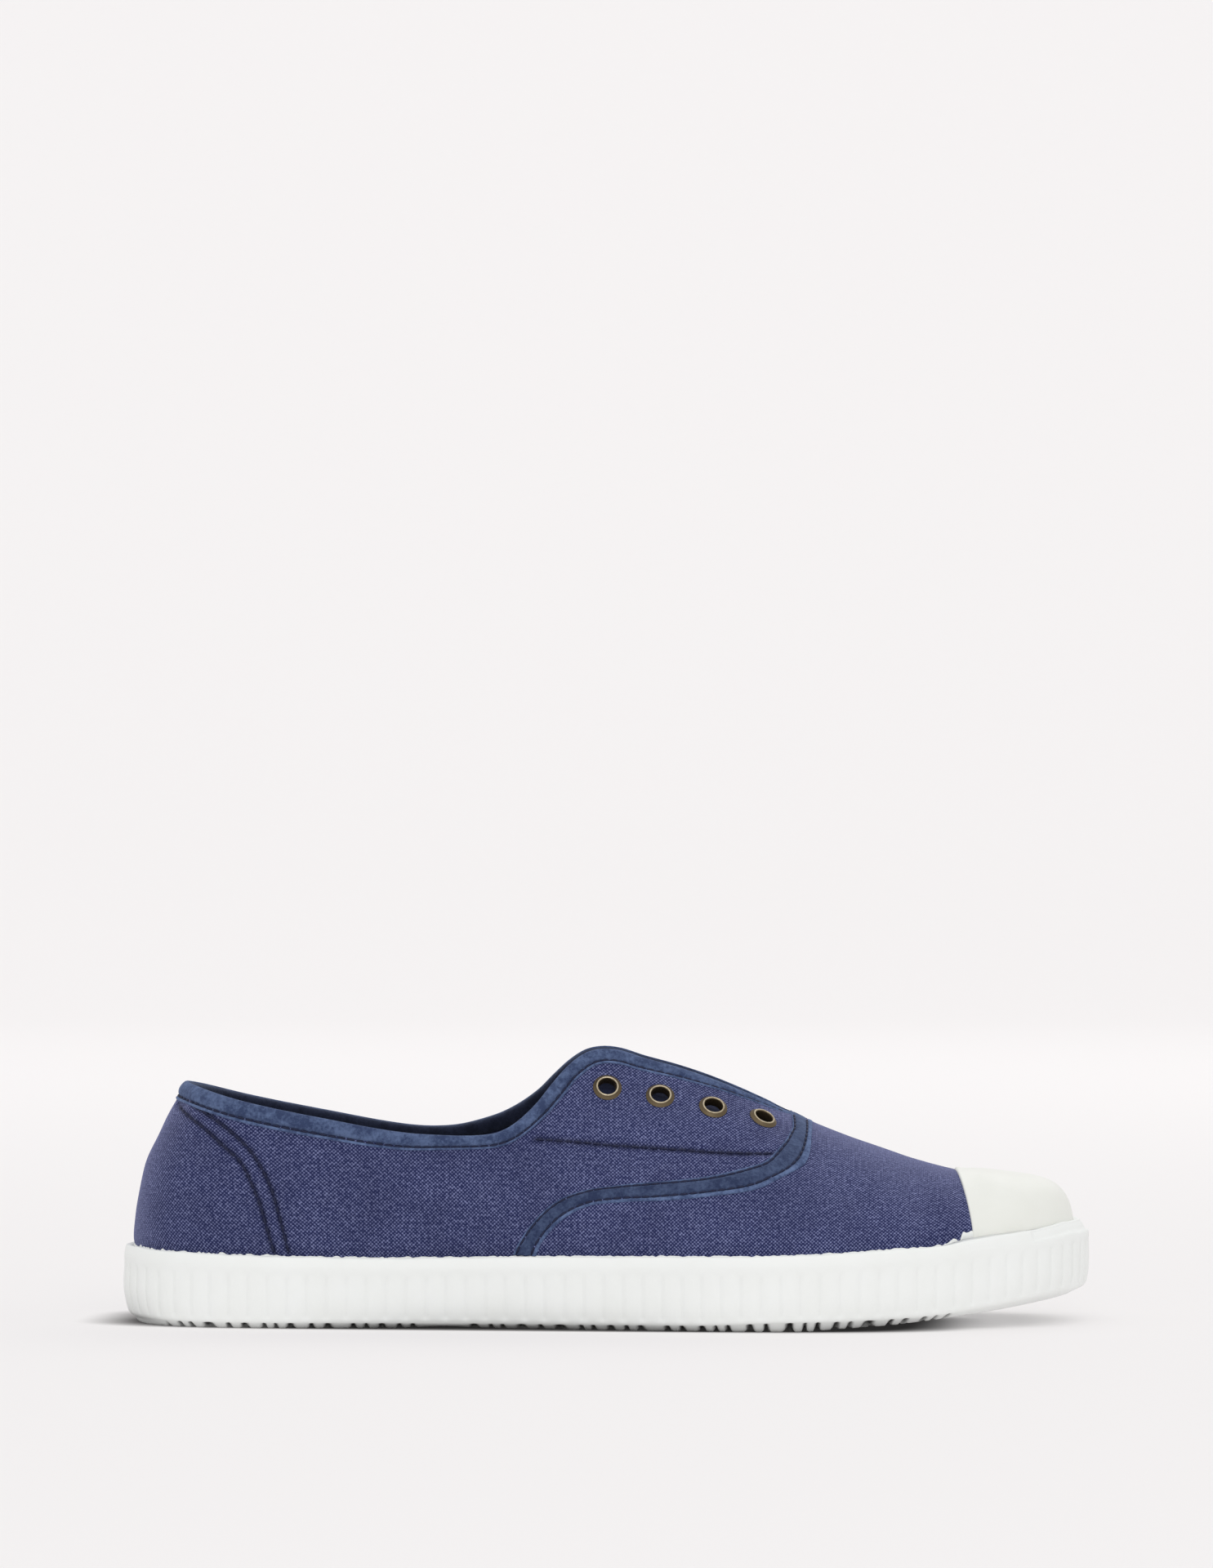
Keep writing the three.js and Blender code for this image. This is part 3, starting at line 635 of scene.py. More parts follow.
def brushedTape(name="brushed_cotton_tape", colour="#374568", pale="#62749A"):
    # soft binding tape with a raised nap: no weave shows, only mottled fuzz that catches the light
    material, tree, shader, place = newMaterial(name, {
        "Roughness": 0.95, "Specular IOR Level": 0.2, "Sheen Weight": 0.3, "Sheen Roughness": 0.6,
        "Sheen Tint": linearColour("#9FB2DB"),
    })
    # nap clumps 0.9 mm across, over mottling 4 mm across
    nap, mottle = (addNode(tree, "ShaderNodeTexNoise", {
        "Vector": place, "Scale": 1 / size, "Detail": detail, "Roughness": roughness,
    }).outputs[0] for size, detail, roughness in ((0.0009, 3.0, 0.7), (0.004, 2.0, 0.5)))
    both = addNode(tree, "ShaderNodeMath", {0: nap, 1: mottle}, operation="ADD")
    share = addNode(tree, "ShaderNodeMapRange", {"Value": both.outputs[0], "From Min": 0.82, "From Max": 1.2})
    # 0C1230 is where the mesh's dark share leads: painted shade in the stitched ditches, and the darker roll
    # of the binding and middle of the vamp tape
    dress(tree, shader, share.outputs[0], colour, pale, "#0C1230", (nap, 0.7, 0.00035))
    return material


def slantedRibs(tree, cloth, degrees, spacing, more):
    # ribs this many mm apart, turned by this angle; the wave texture repeats 3.2 times in a unit
    slant = addNode(tree, "ShaderNodeMapping", {"Vector": cloth, "Rotation": (0, 0, math.radians(degrees))})
    return addNode(tree, "ShaderNodeTexWave", {
        "Vector": slant.outputs[0], "Scale": 1 / (spacing * 3.2), **more,
    }).outputs[1]


def cottonLining():
    # dark twill lining: fine slanting ribs, dull
    material, tree, shader, cloth = newMaterial("navy_twill_lining", {
        "Roughness": 0.95, "Specular IOR Level": 0.2,
    }, onCloth=True)
    ribs = slantedRibs(tree, cloth, 63, 0.9, {"Distortion": 0.6, "Detail": 1.0})
    dress(tree, shader, ribs, "#1E2238", "#353B5A", None, (ribs, 0.4, 0.0001))
    return material


def navyThread():
    # waxed polyester sewing thread, two plies twisted: near black, with a faint shine
    material, tree, shader, cloth = newMaterial("navy_sewing_thread", {
        "Roughness": 0.6, "Specular IOR Level": 0.35,
    }, onCloth=True)
    dress(tree, shader, slantedRibs(tree, cloth, 35, 0.35, {}), "#0D112A", "#1D2348")
    return material


def whiteRubber(name="moulded_white_rubber", colour="#F3F5F4", warm="#EDEFEC", roughness=0.5):
    # vulcanised white rubber: soft satin, faintly clouded, with a fine grain from the mould
    material, tree, shader, place = newMaterial(name, {"IOR": 1.52, "Specular IOR Level": 0.4})
    cloud, grain = (addNode(tree, "ShaderNodeTexNoise", {
        "Vector": place, "Scale": 1 / size, "Detail": detail, "Roughness": rough,
    }).outputs[0] for size, detail, rough in ((0.012, 3.0, 0.55), (0.0007, 2.0, 0.5)))
    satin = addNode(tree, "ShaderNodeMapRange", {
        "Value": cloud, "To Min": roughness - 0.08, "To Max": roughness + 0.1,
    })
    tree.links.new(satin.outputs[0], shader.inputs["Roughness"])
    # painted shade, by the mesh's dark share, darkens the hollows of the tread
    dress(tree, shader, cloud, colour, warm, "#262424", (grain, 0.12, 0.00015))
    return material


def antiqueBrass():
    # brass plating darkened in the hollows, and paler on the crest of the ring: worn bright there, and a
    # painted highlight as well
    material, tree, shader, cloth = newMaterial("antique_brass_plate", {"Metallic": 1.0}, onCloth=True)
    height = addNode(tree, "ShaderNodeSeparateXYZ", {0: cloth}).outputs[1]
    rubbedCrestHighlight = addNode(tree, "ShaderNodeMapRange", {"Value": height, "From Min": 0.78, "From Max": 0.95})
    stain = addNode(tree, "ShaderNodeTexNoise", {
        "Vector": addNode(tree, "ShaderNodeTexCoord").outputs["Object"], "Scale": 1 / 0.0011,
        "Detail": 3.0, "Roughness": 0.65,
    })
    by = addNode(tree, "ShaderNodeMath", {0: rubbedCrestHighlight.outputs[0], 1: stain.outputs[0]}, operation="MULTIPLY")
    bright = addNode(tree, "ShaderNodeMapRange", {"Value": by.outputs[0], "From Min": 0.05, "From Max": 0.5})
    dull = addNode(tree, "ShaderNodeMapRange", {"Value": bright.outputs[0], "To Min": 0.5, "To Max": 0.28})
    tree.links.new(dull.outputs[0], shader.inputs["Roughness"])
    # BDB097 on the crest is worn brass and a painted highlight
    dress(tree, shader, bright.outputs[0], "#6B5E4A", "#BDB097")
    return material


def elasticGore():
    # elastic gore: navy cotton over rubber yarn, mottled 0.5 mm across; its ribs are in the mesh
    material, tree, shader, cloth = newMaterial("navy_elastic_gore", {
        "Roughness": 0.9, "Specular IOR Level": 0.2,
    }, onCloth=True)
    mottle = addNode(tree, "ShaderNodeTexNoise", {
        "Vector": cloth, "Scale": 1 / 0.5, "Detail": 2.0, "Roughness": 0.7,
    }).outputs[0]
    dress(tree, shader, mottle, "#1D223B", "#3B4263", None, (mottle, 0.5, 0.0002))
    return material


canvas = dyedCanvas()
tape = brushedTape()
facingTape = brushedTape("dark_cotton_tape", "#10131F", "#23283A")
lining = cottonLining()
thread = navyThread()
rubber = whiteRubber()
capRubber = whiteRubber("glossed_white_cap_rubber", "#EEEFEA", "#E6E7E0", 0.42)
brass = antiqueBrass()
gore = elasticGore()
print("finishes are mixed")


# seam lines, as x and z on the side of the shoe, from the sole upwards or from the heel forwards

seams = {
    "tapeRear": (
        (-23.6, 19.3), (-22.3, 22.2), (-19.4, 26.6), (-15.3, 30.9), (-10.4, 34.0), (-4.8, 35.8), (2.3, 36.8),
        (12.1, 37.7), (21.1, 38.5), (29.6, 39.7), (37.6, 41.6), (43.0, 43.7), (47.0, 47.7), (48.9, 50.5),
        (49.6, 52.2),
    ),
    "tapeFront": (
        (-19.7, 19.1), (-18.4, 22.2), (-15.6, 26.1), (-11.4, 29.9), (-5.9, 32.6), (2.3, 34.0), (13.1, 34.6),
        (24.0, 35.6), (34.8, 37.0), (41.8, 39.1), (47.5, 41.9), (50.9, 45.2), (52.7, 50.1),
    ),
    "facing": (
        (-18.9, 49.3), (-9.6, 48.7), (1.0, 47.7), (11.7, 47.1), (18.7, 46.7), (30.3, 46.0), (46.0, 45.7),
    ),
    "heelRear": (
        (-86.7, 19.5), (-89.2, 27.6), (-91.3, 34.1), (-95.4, 42.6), (-100.5, 47.4), (-107.0, 52.8),
        (-113.4, 57.9),
    ),
    "heelFront": (
        (-83.0, 19.8), (-85.1, 27.7), (-87.7, 36.5), (-91.3, 43.4), (-95.5, 48.5), (-101.6, 53.4),
        (-108.5, 57.8),
    ),
}
tapeCrest = {"tapeRear": 49.4, "tapeFront": 53.1}  # where the tape's two edges cross the instep


def seamPath(name, inner=False, spacing=0.5):
    # the seam's positions and shares of the wall at even steps; the tape's edges run on to the crest
    found = findOnLast(seams[name], inner)
    if name in tapeCrest:
        crest = positionAtX(tapeCrest[name], inner)
        found = np.concatenate([found, [[float(crest)], [1.0]]], axis=1)
    curve = smoothCurve(found)
    curve[1] = np.minimum(curve[1], 1)
    return evenly(curve, sectionPoint(curve[0], curve[1]), spacing)[0]


def distanceTo(points, line, atOnce=8000):
    # least distance from each point to a line's points, a block at a time
    flat = points.reshape(-1, 3)
    near = np.empty(len(flat))
    for start in range(0, len(flat), atOnce):
        block = flat[start:start + atOnce]
        squares = (block**2).sum(1)[:, None] - 2 * block @ line.T + (line**2).sum(1)
        near[start:start + atOnce] = np.sqrt(np.maximum(squares.min(1), 0))
    return near.reshape(points.shape[:-1])


# eyelet places, and the holes punched for them

eyeletMake = {
    # x and z of each centre on the side of the shoe
    "places": ((0.2, 62.4), (14.1, 60.2), (28.0, 57.3), (41.2, 54.2)),
    # radius, height over the canvas: barrel below, rolled throat, crest, cone, outer lip and back again
    "profile": (
        (2.66, -1.9), (2.42, -1.9), (2.38, -0.9), (2.38, 0.3), (2.42, 0.68), (2.56, 0.9), (2.76, 0.96),
        (2.94, 0.88), (3.08, 0.7), (3.34, 0.48), (3.6, 0.28), (3.78, 0.13), (3.76, 0.02), (3.5, 0.0),
        (2.9, 0.02), (2.66, -0.1),
    ),
    "sides": 64,
    # radii and heights of the punch, a plain plug
    "punch": ((0.0, -4.0), (2.95, -4.0), (2.95, 3.0), (0.0, 3.0)), "punchSides": 40,
}


def eyeletPlace(x, z, inner):
    # centre on the canvas and the directions out of it, across and up
    q = positionAtX(x, inner)
    t = shareWhere(q, lambda p: p[..., 2] > z)
    normal = sectionNormal(q, t)
    across = unit(np.cross(normal, [0.0, 0.0, 1.0]))
    return sectionPoint(q, t), normal, across, np.cross(across, normal)


def turned(place, radius, height, sides):
    # a profile of radii and heights turned about the eyelet's axis
    centre, normal, across, up = place
    turn = np.linspace(0, 2 * math.pi, sides + 1)
    ring = across * np.cos(turn)[:, None] + up * np.sin(turn)[:, None]
    points = centre + ring[:, None] * radius[None, :, None] + normal * height[None, :, None]
    cloth = np.stack(np.broadcast_arrays(turn[:, None] * 3, height[None]), -1)
    return sheet(points[:, ::-1], cloth[:, ::-1])


eyeletPlaces = {
    f"eyelet_{side}_{k + 1}": eyeletPlace(x, z, inner)
    for side, inner in (("outer", False), ("inner", True))
    for k, (x, z) in enumerate(eyeletMake["places"])
}
eyeletPunches = weldedObject("punches", [
    turned(place, *np.array(eyeletMake["punch"]).T, eyeletMake["punchSides"])
    for place in eyeletPlaces.values()
])


# canvas upper and its lining

canvasMake = {
    "columnSpacing": 0.75, "rows": 84, "insideRows": 5,
    "thickness": 0.9,
    "underBinding": 1.3,  # the canvas stops this far below the binding's top
    "ditch": 0.42, "ditchWidth": 1.0,  # where a stitch row draws the canvas in
    # painted shade along the ditches of the stitch rows
    "seamShade": 0.85, "shadeWidth": 0.72,
    "darkerTowardsHeel": 0.1,  # the canvas grows a little darker from x = 8 back to x = -28, and stays so over the quarters to the heel
    "foldStrength": 1.5, "foldBow": 0.08,
    "pucker": 0.10, "puckerPitch": 5.2,  # beside the tape, and along the ditches
    "heelLap": 0.32,  # the heel seam's two layers stand this proud between its rows
    "rimBulge": 0.25, "rimDraw": 0.2,  # over the sole's rim, and where the canvas enters it
    "capPress": 0.3,  # the cap holds the canvas down
}
liningMake = {"columnSpacing": 1.6, "rows": 14, "insideRows": 34, "outer": -0.95, "underBinding": 1.5}

# Soft folds: side (-1 outer, 1 inner, 0 both), start x, z, end x, z, half width, height
folds = np.array([
    (0, -118, 49, -104, 44, 4.5, -0.35), (0, -120, 42, -106, 36, 4.0, 0.3), (0, -98, 41, -108, 52, 3.5, 0.22),
    (0, -121, 34, -108, 28, 4.0, -0.25), (0, -78, 45, -66, 26, 6.0, -0.25), (0, -64, 45, -56, 24, 6.0, 0.25),
    (0, -48, 43, -44, 24, 6.5, -0.28), (0, -34, 44, -28, 28, 6.0, 0.22), (-1, -14, 56, -4, 50, 4.0, -0.25),
    (-1, 6, 53, 22, 51, 3.5, 0.22), (1, 0, 54, 18, 50, 4.5, -0.22), (0, 22, 49, 36, 44, 3.0, -0.2),
    (0, 0, 43, 24, 41, 2.6, -0.2), (0, 56, 45, 66, 28, 5.0, -0.3), (0, 68, 42, 74, 26, 5.0, 0.25),
    (-1, 80, 40, 84, 25, 4.0, -0.25), (1, 78, 40, 84, 26, 4.5, -0.3), (0, 88, 36, 89, 25, 2.6, 0.25),
    (0, -4, 30, 18, 22, 5.0, 0.22), (0, 30, 33, 40, 22, 5.5, -0.25),
])


def foldRelief(points):
    # each fold is a soft ridge or trough: a bell across its line, fading out past both ends
    relief = np.zeros(points.shape[:-1])
    xz = points[..., [0, 2]]
    onInner = smoothStep(-4, 8, points[..., 1])
    for side, x1, z1, x2, z2, width, height in folds:
        start, run = np.array([x1, z1]), np.array([x2 - x1, z2 - z1])
        length = np.hypot(*run)
        along = ((xz - start) @ run) / length
        # a slightly bowed line looks like cloth
        bow = canvasMake["foldBow"] * length * np.sin(math.pi * np.clip(along / length, 0, 1))
        across = ((xz - start) @ np.array([-run[1], run[0]])) / length - bow
        comesIn = smoothStep(-0.45 * length, 0.3 * length, along)
        goesOut = smoothStep(1.45 * length, 0.7 * length, along)
        onSide = {-1: 1 - onInner, 0: 1, 1: onInner}[int(side)]
        relief += height * np.exp(-(across / width)**2) * comesIn * goesOut * onSide
    return relief * canvasMake["foldStrength"]


def canvasRelief(points):
    # how far the canvas stands off the last, folds plus bells across its seams, and how dark it is: painted
    # shade in the seams' ditches, and a little darker towards the heel
    make = canvasMake
    relief = foldRelief(points)
    near = {}
    for name in seams:
        lines = [seamPath(name, inner) for inner in (False, True)]
        line = np.concatenate([sectionPoint(*line) for line in lines])
        near[name] = distanceTo(points, line)
    for name in ("facing", "heelRear", "heelFront"):
        depth = make["ditch"] * np.exp(-(near[name] / make["ditchWidth"])**2)
        along = np.sin(2 * math.pi * (points[..., 0] - points[..., 2]) / make["puckerPitch"])
        relief -= depth * (1 + 0.35 * along)
    midway = np.exp(-((near["heelRear"] - near["heelFront"]) / 2.2)**2)
    relief += make["heelLap"] * midway * np.exp(-(near["heelRear"] / 4.5)**2)
    besideTape = np.exp(-(np.minimum(near["tapeRear"], near["tapeFront"]) / 3.2)**2)
    relief += make["pucker"] * besideTape * ripple(points[..., 0] + 0.5 * points[..., 2], (5.2, 7.9, 3.7))
    overRim = points[..., 2] - heightAlong(rimEdge, points[..., 0])
    unevenly = 0.7 + 0.5 * ripple(points[..., 0], (23, 37))
    relief += make["rimBulge"] * np.exp(-((overRim - 3.2) / 2.6)**2) * unevenly
    relief -= make["rimDraw"] * smoothStep(2.0, 0.0, overRim)
    behindCap = capEdgeX(points[..., 1]) - points[..., 0]
    relief -= make["capPress"] * smoothStep(1.0, -2.5, behindCap)
    # painted shade in the stitch rows' ditches, and the canvas a little darker towards the heel; the larger
    # of the two counts
    rows = np.minimum(np.minimum(near["facing"], near["heelRear"]), near["heelFront"])
    dark = np.maximum(make["seamShade"] * np.exp(-(rows / make["shadeWidth"])**2),
        make["darkerTowardsHeel"] * smoothStep(8, -28, points[..., 0]))
    return np.where(behindCap < -2, np.minimum(relief, 0), relief), dark


def capEdgeX(y):
    # the cap's rear edge in plan: a flat arc, further back on top than at the sides
    f = np.clip((y + 30) / 66, 0, 1)
    return upperMake["capEdgeSide"] - (upperMake["capEdgeSide"] - upperMake["capEdgeTop"]) * 4 * f * (1 - f)


def wallShell(make, outer, inner, relief=None):
    # up the outside, over the edge and down the inside; where the wall is closed above, nothing goes over
    rows, insideRows = make["rows"], make["insideRows"]
    q = roundPositions(make["columnSpacing"])
    edge = edgeShare(q)
    up = np.linalg.norm(sectionPoint(q, edge) - sectionPoint(q, edge - 0.02), axis=-1) / 0.02
    edge = edge - make["underBinding"] / up * (1 - smoothStep(throatStation - 0.7, throatStation, sideOf(q)))
    t = edge[:, None] * np.linspace(0, 1, rows)[None]
    offset = np.full(t.shape, float(outer))
    shade = np.zeros(t.shape)
    if relief:
        rise, shade = relief(sectionPoint(q[:, None], t))
        offset = offset + rise
    outside = onLast(q[:, None], t, offset)
    tIn = edge[:, None] * np.linspace(1, 0, insideRows)[None]
    inside = onLast(q[:, None], tIn, np.full(tIn.shape, float(inner)))
    points = np.concatenate([outside, inside, outside[:, :1]], axis=1)
    shares = np.concatenate([t, tIn, t[:, :1]], axis=1)
    closed = sideOf(q) >= throatStation - 1e-9
    keep = np.ones((len(q) - 1, points.shape[1] - 1), bool)
    keep[closed[:-1] & closed[1:], rows - 1] = False
    dark = np.concatenate([shade, np.zeros(tIn.shape), shade[:, :1]], axis=1)
    return sheet(points, wallGrid(q[:, None] + 0 * shares, shares, points), keep, dark)


canvasShell = wallShell(canvasMake, 0.0, -canvasMake["thickness"], canvasRelief)
liningShell = wallShell(liningMake, liningMake["outer"], -upperMake["wall"])
makePiece("canvas_upper", [canvasShell], canvas, ["upper"], eyeletPunches)
makePiece("lining", [liningShell], lining, (), eyeletPunches)
bpy.data.objects.remove(eyeletPunches)


# collar and throat binding

bindingMake = {
    "spacing": 0.8,
    "flat": (-2.0, 10.0),  # the roll lies flatter from here forwards
    "under": (42.0, 48.5),  # it thins here to pass under the tape
    "widths": np.array([  # distance along the shoe, then its width as a share of the profile's
        (-125, 1.15), (-84, 1.12), (-56, 0.98), (-38, 0.76), (-24, 0.84), (-10, 0.9), (5, 0.88), (20, 0.82),
        (31, 0.72), (41, 0.56), (48, 0.4), (51, 0.38),
    ]),
    # distance below the edge, and height over the canvas: inside, over the top, down the outside
    "profile": (
        (0.1, -0.2), (-0.12, 0.05), (-0.05, 0.4), (0.3, 0.72), (0.9, 0.92), (1.6, 1.0), (2.4, 0.96),
        (3.0, 0.78), (3.4, 0.46), (3.6, 0.1), (3.85, -0.1), (4.05, 0.1), (4.2, 0.42), (4.45, 0.52),
        (4.7, 0.4), (4.8, 0.12), (4.8, -0.1),
    ),
    # the facing turned over inside: dark tape from the top down to its own edge
    "inside": (
        (4.6, -1.85), (4.9, -2.0), (4.6, -2.25), (3.4, -2.5), (1.8, -2.6), (0.7, -2.45), (0.1, -2.0),
        (-0.16, -1.3), (-0.14, -0.5), (0.1, -0.15),
    ),
    "stitchRow": 3.85,
    "flatten": 0.4, "thin": 0.88,  # how much of its height it loses where it is flat, and under the tape
    "uneven": 0.09, "nip": 0.06,  # waves along the roll, and how far each stitch draws it in
    # painted shade in the stitched ditch; the roll is a little darker than the selvedge
    "ditchDark": 0.85, "rollDark": 0.26,
}
stitchMake = {
    "pitch": 2.5, "length": 2.3, "radius": 0.29, "rings": 7, "sides": 6,
    "first": 0.3,  # where along its path a row starts
    "rise": 0.16, "sink": 0.1,  # the middle of a stitch stands up and its ends dip in
    "overBinding": 0.14,
    # seam and height of its thread's path over the canvas
    "rows": (
        ("tapeRear", 0.16), ("tapeFront", 0.16), ("facing", -0.2), ("heelRear", -0.1), ("heelFront", -0.1),
    ),
}


def collarPath(spacing):
    # along the edge from the outer throat round the heel to the inner throat
    q = np.linspace(throatStation - 0.001, -throatStation + 0.001, 2400)
    t = edgeShare(q)
    (q,), along = evenly(q[None], sectionPoint(q, t), spacing)
    t = edgeShare(q)
    at = sectionPoint(q, t)
    tangent = unit(np.gradient(at, axis=0))
    normal = sectionNormal(q, t)
    down = unit(np.cross(normal, tangent))
    return q, t, along, at, down


def bindingPoints(q, t, at, down, below, over):
    # a point this far below the edge and this high over the canvas, thinned where the tape covers it
    under = smoothStep(*bindingMake["under"], at[:, 0])[:, None]
    below = below * heightAlong(bindingMake["widths"], at[:, 0])[:, None]
    flatter = 1 - bindingMake["flatten"] * smoothStep(*bindingMake["flat"], at[:, 0])[:, None]
    over = np.where(over > 0, over * flatter * (1 - bindingMake["thin"] * under), over)
    atQ, atT = walk(q[:, None], t[:, None], down[:, None], below)
    return onLast(atQ, atT, over)


def collarStrip(profileName):
    # one of the two strips, its section carried along the whole edge
    make = bindingMake
    q, t, along, at, down = collarPath(make["spacing"])
    profile = smoothCurve(np.array(make[profileName]).T, 2).T
    profile = np.concatenate([profile, profile[:1]])
    below, over = profile.T
    bulge = np.exp(-((below - 1.9) / 1.3)**2) * (over > 0.2)
    uneven = 1 + make["uneven"] * ripple(along, (11.3, 6.1, 17.9))[:, None] * bulge[None]
    # the stitches nip the ditch and the edge of the roll
    nip = np.exp(-((below - 3.6) / 0.6)**2) * (over > 0.05)
    nips = make["nip"] * nip[None] * (1 + np.cos(2 * math.pi * along / stitchMake["pitch"]))[:, None]
    points = bindingPoints(q, t, at, down, below[None], np.where(over > 0, over * uneven, over) - nips)
    middle = points.mean(axis=1, keepdims=True)
    ends = [np.repeat(middle[k], points.shape[1], axis=0)[None] for k in (0, -1)]
    points = np.concatenate([ends[0], points, ends[1]])
    run = np.concatenate([[along[0]], along, [along[-1]]])
    cloth = np.stack(np.broadcast_arrays(run[:, None], np.arange(points.shape[1]) * 0.35), -1)
    # the stitched ditch takes painted shade, the roll a little darker than the thin selvedge
    ditch = make["ditchDark"] * np.exp(-((below - make["stitchRow"]) / 0.3)**2) * (over > -0.15)
    dark = np.maximum(ditch, make["rollDark"] * smoothStep(4.0, 3.6, below))
    return sheet(points, cloth, None, dark[None])


makePiece("collar_binding", [collarStrip("profile")], tape)
makePiece("collar_facing", [collarStrip("inside")], facingTape)


# tape between quarters and vamp

tapeMake = {
    "count": 190,  # sections from the sole to the crest
    # share of the width from rear stitch row (0) to front stitch row (1), and height over the canvas
    "profile": (
        (-0.17, -0.1), (-0.17, 0.2), (-0.1, 0.34), (-0.03, 0.12), (0.03, 0.08), (0.12, 0.42), (0.3, 0.54),
        (0.5, 0.56), (0.7, 0.54), (0.88, 0.42), (0.97, 0.08), (1.03, 0.08), (1.12, 0.34), (1.22, 0.46),
        (1.33, 0.38), (1.38, 0.12), (1.38, -0.1),
    ),
    "flatter": 0.65, "flatFrom": (49.5, 54.0),  # it is pressed flat where it crosses the instep, by height
    "uneven": 0.08, "nip": 0.06, "nipWidth": 0.09,
    "rowGap": 3.2,  # between its stitch rows
    # painted shade in the stitched ditches, and a darker tone of the tape between them
    "ditchDark": 0.85, "ditchWidth": 0.24, "middleDark": 0.56,
}


def tapePaths(inner, count):
    # the two stitch rows as matching points, sole to crest
    rows = []
    for name in ("tapeRear", "tapeFront"):
        path = seamPath(name, inner)
        k = np.linspace(0, path.shape[1] - 1, count)
        rows.append(np.stack([np.interp(k, np.arange(path.shape[1]), column) for column in path]))
    return rows


def vampTape(inner):
    # a ribbon between the two stitch rows, its section carried from the sole over to the crest
    make = tapeMake
    rear, front = tapePaths(inner, make["count"])
    share, over = smoothCurve(np.array(make["profile"]).T, 3)
    q = rear[0][:, None] * (1 - share) + front[0][:, None] * share
    t = rear[1][:, None] * (1 - share) + front[1][:, None] * share
    t = np.where(rear[1][:, None] > 0.9999, 1.0, np.minimum(t, 1.0))
    middle = sectionPoint(q[:, len(share) // 2], t[:, len(share) // 2])
    along = pathLength(middle)
    pressed = 1 - make["flatter"] * smoothStep(*make["flatFrom"], middle[:, 2])[:, None]
    uneven = 1 + make["uneven"] * ripple(along, (9.7, 5.3))[:, None]
    nip = sum(np.exp(-((share - row) / make["nipWidth"])**2) for row in (0.0, 1.0))
    dips = make["nip"] * (1 + np.cos(2 * math.pi * along / stitchMake["pitch"]))[:, None] * nip[None]
    over = np.where(over > 0, (over * uneven - dips) * pressed, over)
    points = onLast(q, t, over)
    points = np.concatenate([points, points[:, :1]], axis=1)
    width = np.append(share, share[0]) * make["rowGap"]
    cloth = np.stack(np.broadcast_arrays(along[:, None], width[None]), -1)
    # painted shade in the two stitched ditches and, less so, a darker tone between them
    fromRow = np.minimum(np.abs(width), np.abs(width - make["rowGap"]))
    ditch = make["ditchDark"] * np.exp(-(fromRow / make["ditchWidth"])**2)
    between = smoothStep(-0.1, 0.3, width) * smoothStep(-0.1, 0.3, make["rowGap"] - width)
    dark = np.broadcast_to(np.maximum(ditch, make["middleDark"] * between), points.shape[:2])
    if not inner:  # rows towards the crest and columns forwards face inwards on the outer side
        points, cloth, dark = points[:, ::-1], cloth[:, ::-1], dark[:, ::-1]
    return sheet(points, cloth, None, dark)


makePiece("vamp_tape", [vampTape(False), vampTape(True)], tape)


# stitches

def stitchRun(centres, normals):
    # short fat threads along a path: each a capsule that dips into the cloth at both ends
    make = stitchMake
    length = pathLength(centres)
    count = int((length[-1] - make["length"]) / make["pitch"])
    start = np.arange(count) * make["pitch"] + make["first"]
    f = np.linspace(0, 1, make["rings"])
    at = start[:, None] + f[None] * make["length"]
    centre = np.stack([np.interp(at, length, centres[:, k]) for k in range(3)], -1)
    normal = unit(np.stack([np.interp(at, length, normals[:, k]) for k in range(3)], -1))
    along = unit(centre[:, -1:] - centre[:, :1])
    side = np.cross(along, normal)
    dome = np.sin(math.pi * (0.04 + 0.92 * f))
    centre = centre + normal * (make["rise"] * dome - make["sink"])[None, :, None]
    radius = make["radius"] * dome**0.4
    radius[0] = radius[-1] = 0.02
    turn = np.linspace(0, 2 * math.pi, make["sides"] + 1)
    ring = (side[:, :, None] * np.cos(turn)[None, None, :, None]
        + normal[:, :, None] * np.sin(turn)[None, None, :, None])
    points = centre[:, :, None] + ring * radius[None, :, None, None]
    cloth = np.stack(np.broadcast_arrays(at[:, :, None], turn[None, None] * make["radius"]), -1)
    return [sheet(points[k], cloth[k]) for k in range(count)]


def seamStitches():
    # one row round the binding up to the tape, then each seam's row on both sides, up to the crest
    q, t, _, at, down = collarPath(bindingMake["spacing"])
    overBinding = np.array([[stitchMake["overBinding"]]])
    points = bindingPoints(q, t, at, down, bindingMake["stitchRow"], overBinding)[:, 0]
    shown = at[:, 0] < bindingMake["under"][1] - 2
    sheets = stitchRun(points[shown], sectionNormal(q, t)[shown])
    for inner in (False, True):
        for name, over in stitchMake["rows"]:
            q, t = seamPath(name, inner)
            shown = t < 0.985
            sheets += stitchRun(onLast(q, t, over + 0 * q)[shown], sectionNormal(q, t)[shown])
    return sheets


makePiece("seam_stitches", seamStitches(), thread)


# eyelets

eyeletProfile = smoothCurve(np.array(eyeletMake["profile"]).T, 4)
eyeletProfile = np.concatenate([eyeletProfile, eyeletProfile[:, :1]], axis=1)
for name, place in eyeletPlaces.items():
    makePiece(name, [turned(place, *eyeletProfile, eyeletMake["sides"])], brass, [name])


# toe cap

capMake = {
    "lift": 1.5,  # outer face over the canvas
    "under": 0.45,  # inner face over the canvas
    "rearLift": 0.62, "rearUnder": -0.25,  # it thins to its rear edge and lies on the canvas there
    "taper": 9.0, "edgeRound": 0.45,
    "edgeStations": (14.7, 15.9), "edgeSpacing": 0.4,  # its rear edge crosses the wall between these
    "frontCount": 60, "rows": 60,
}


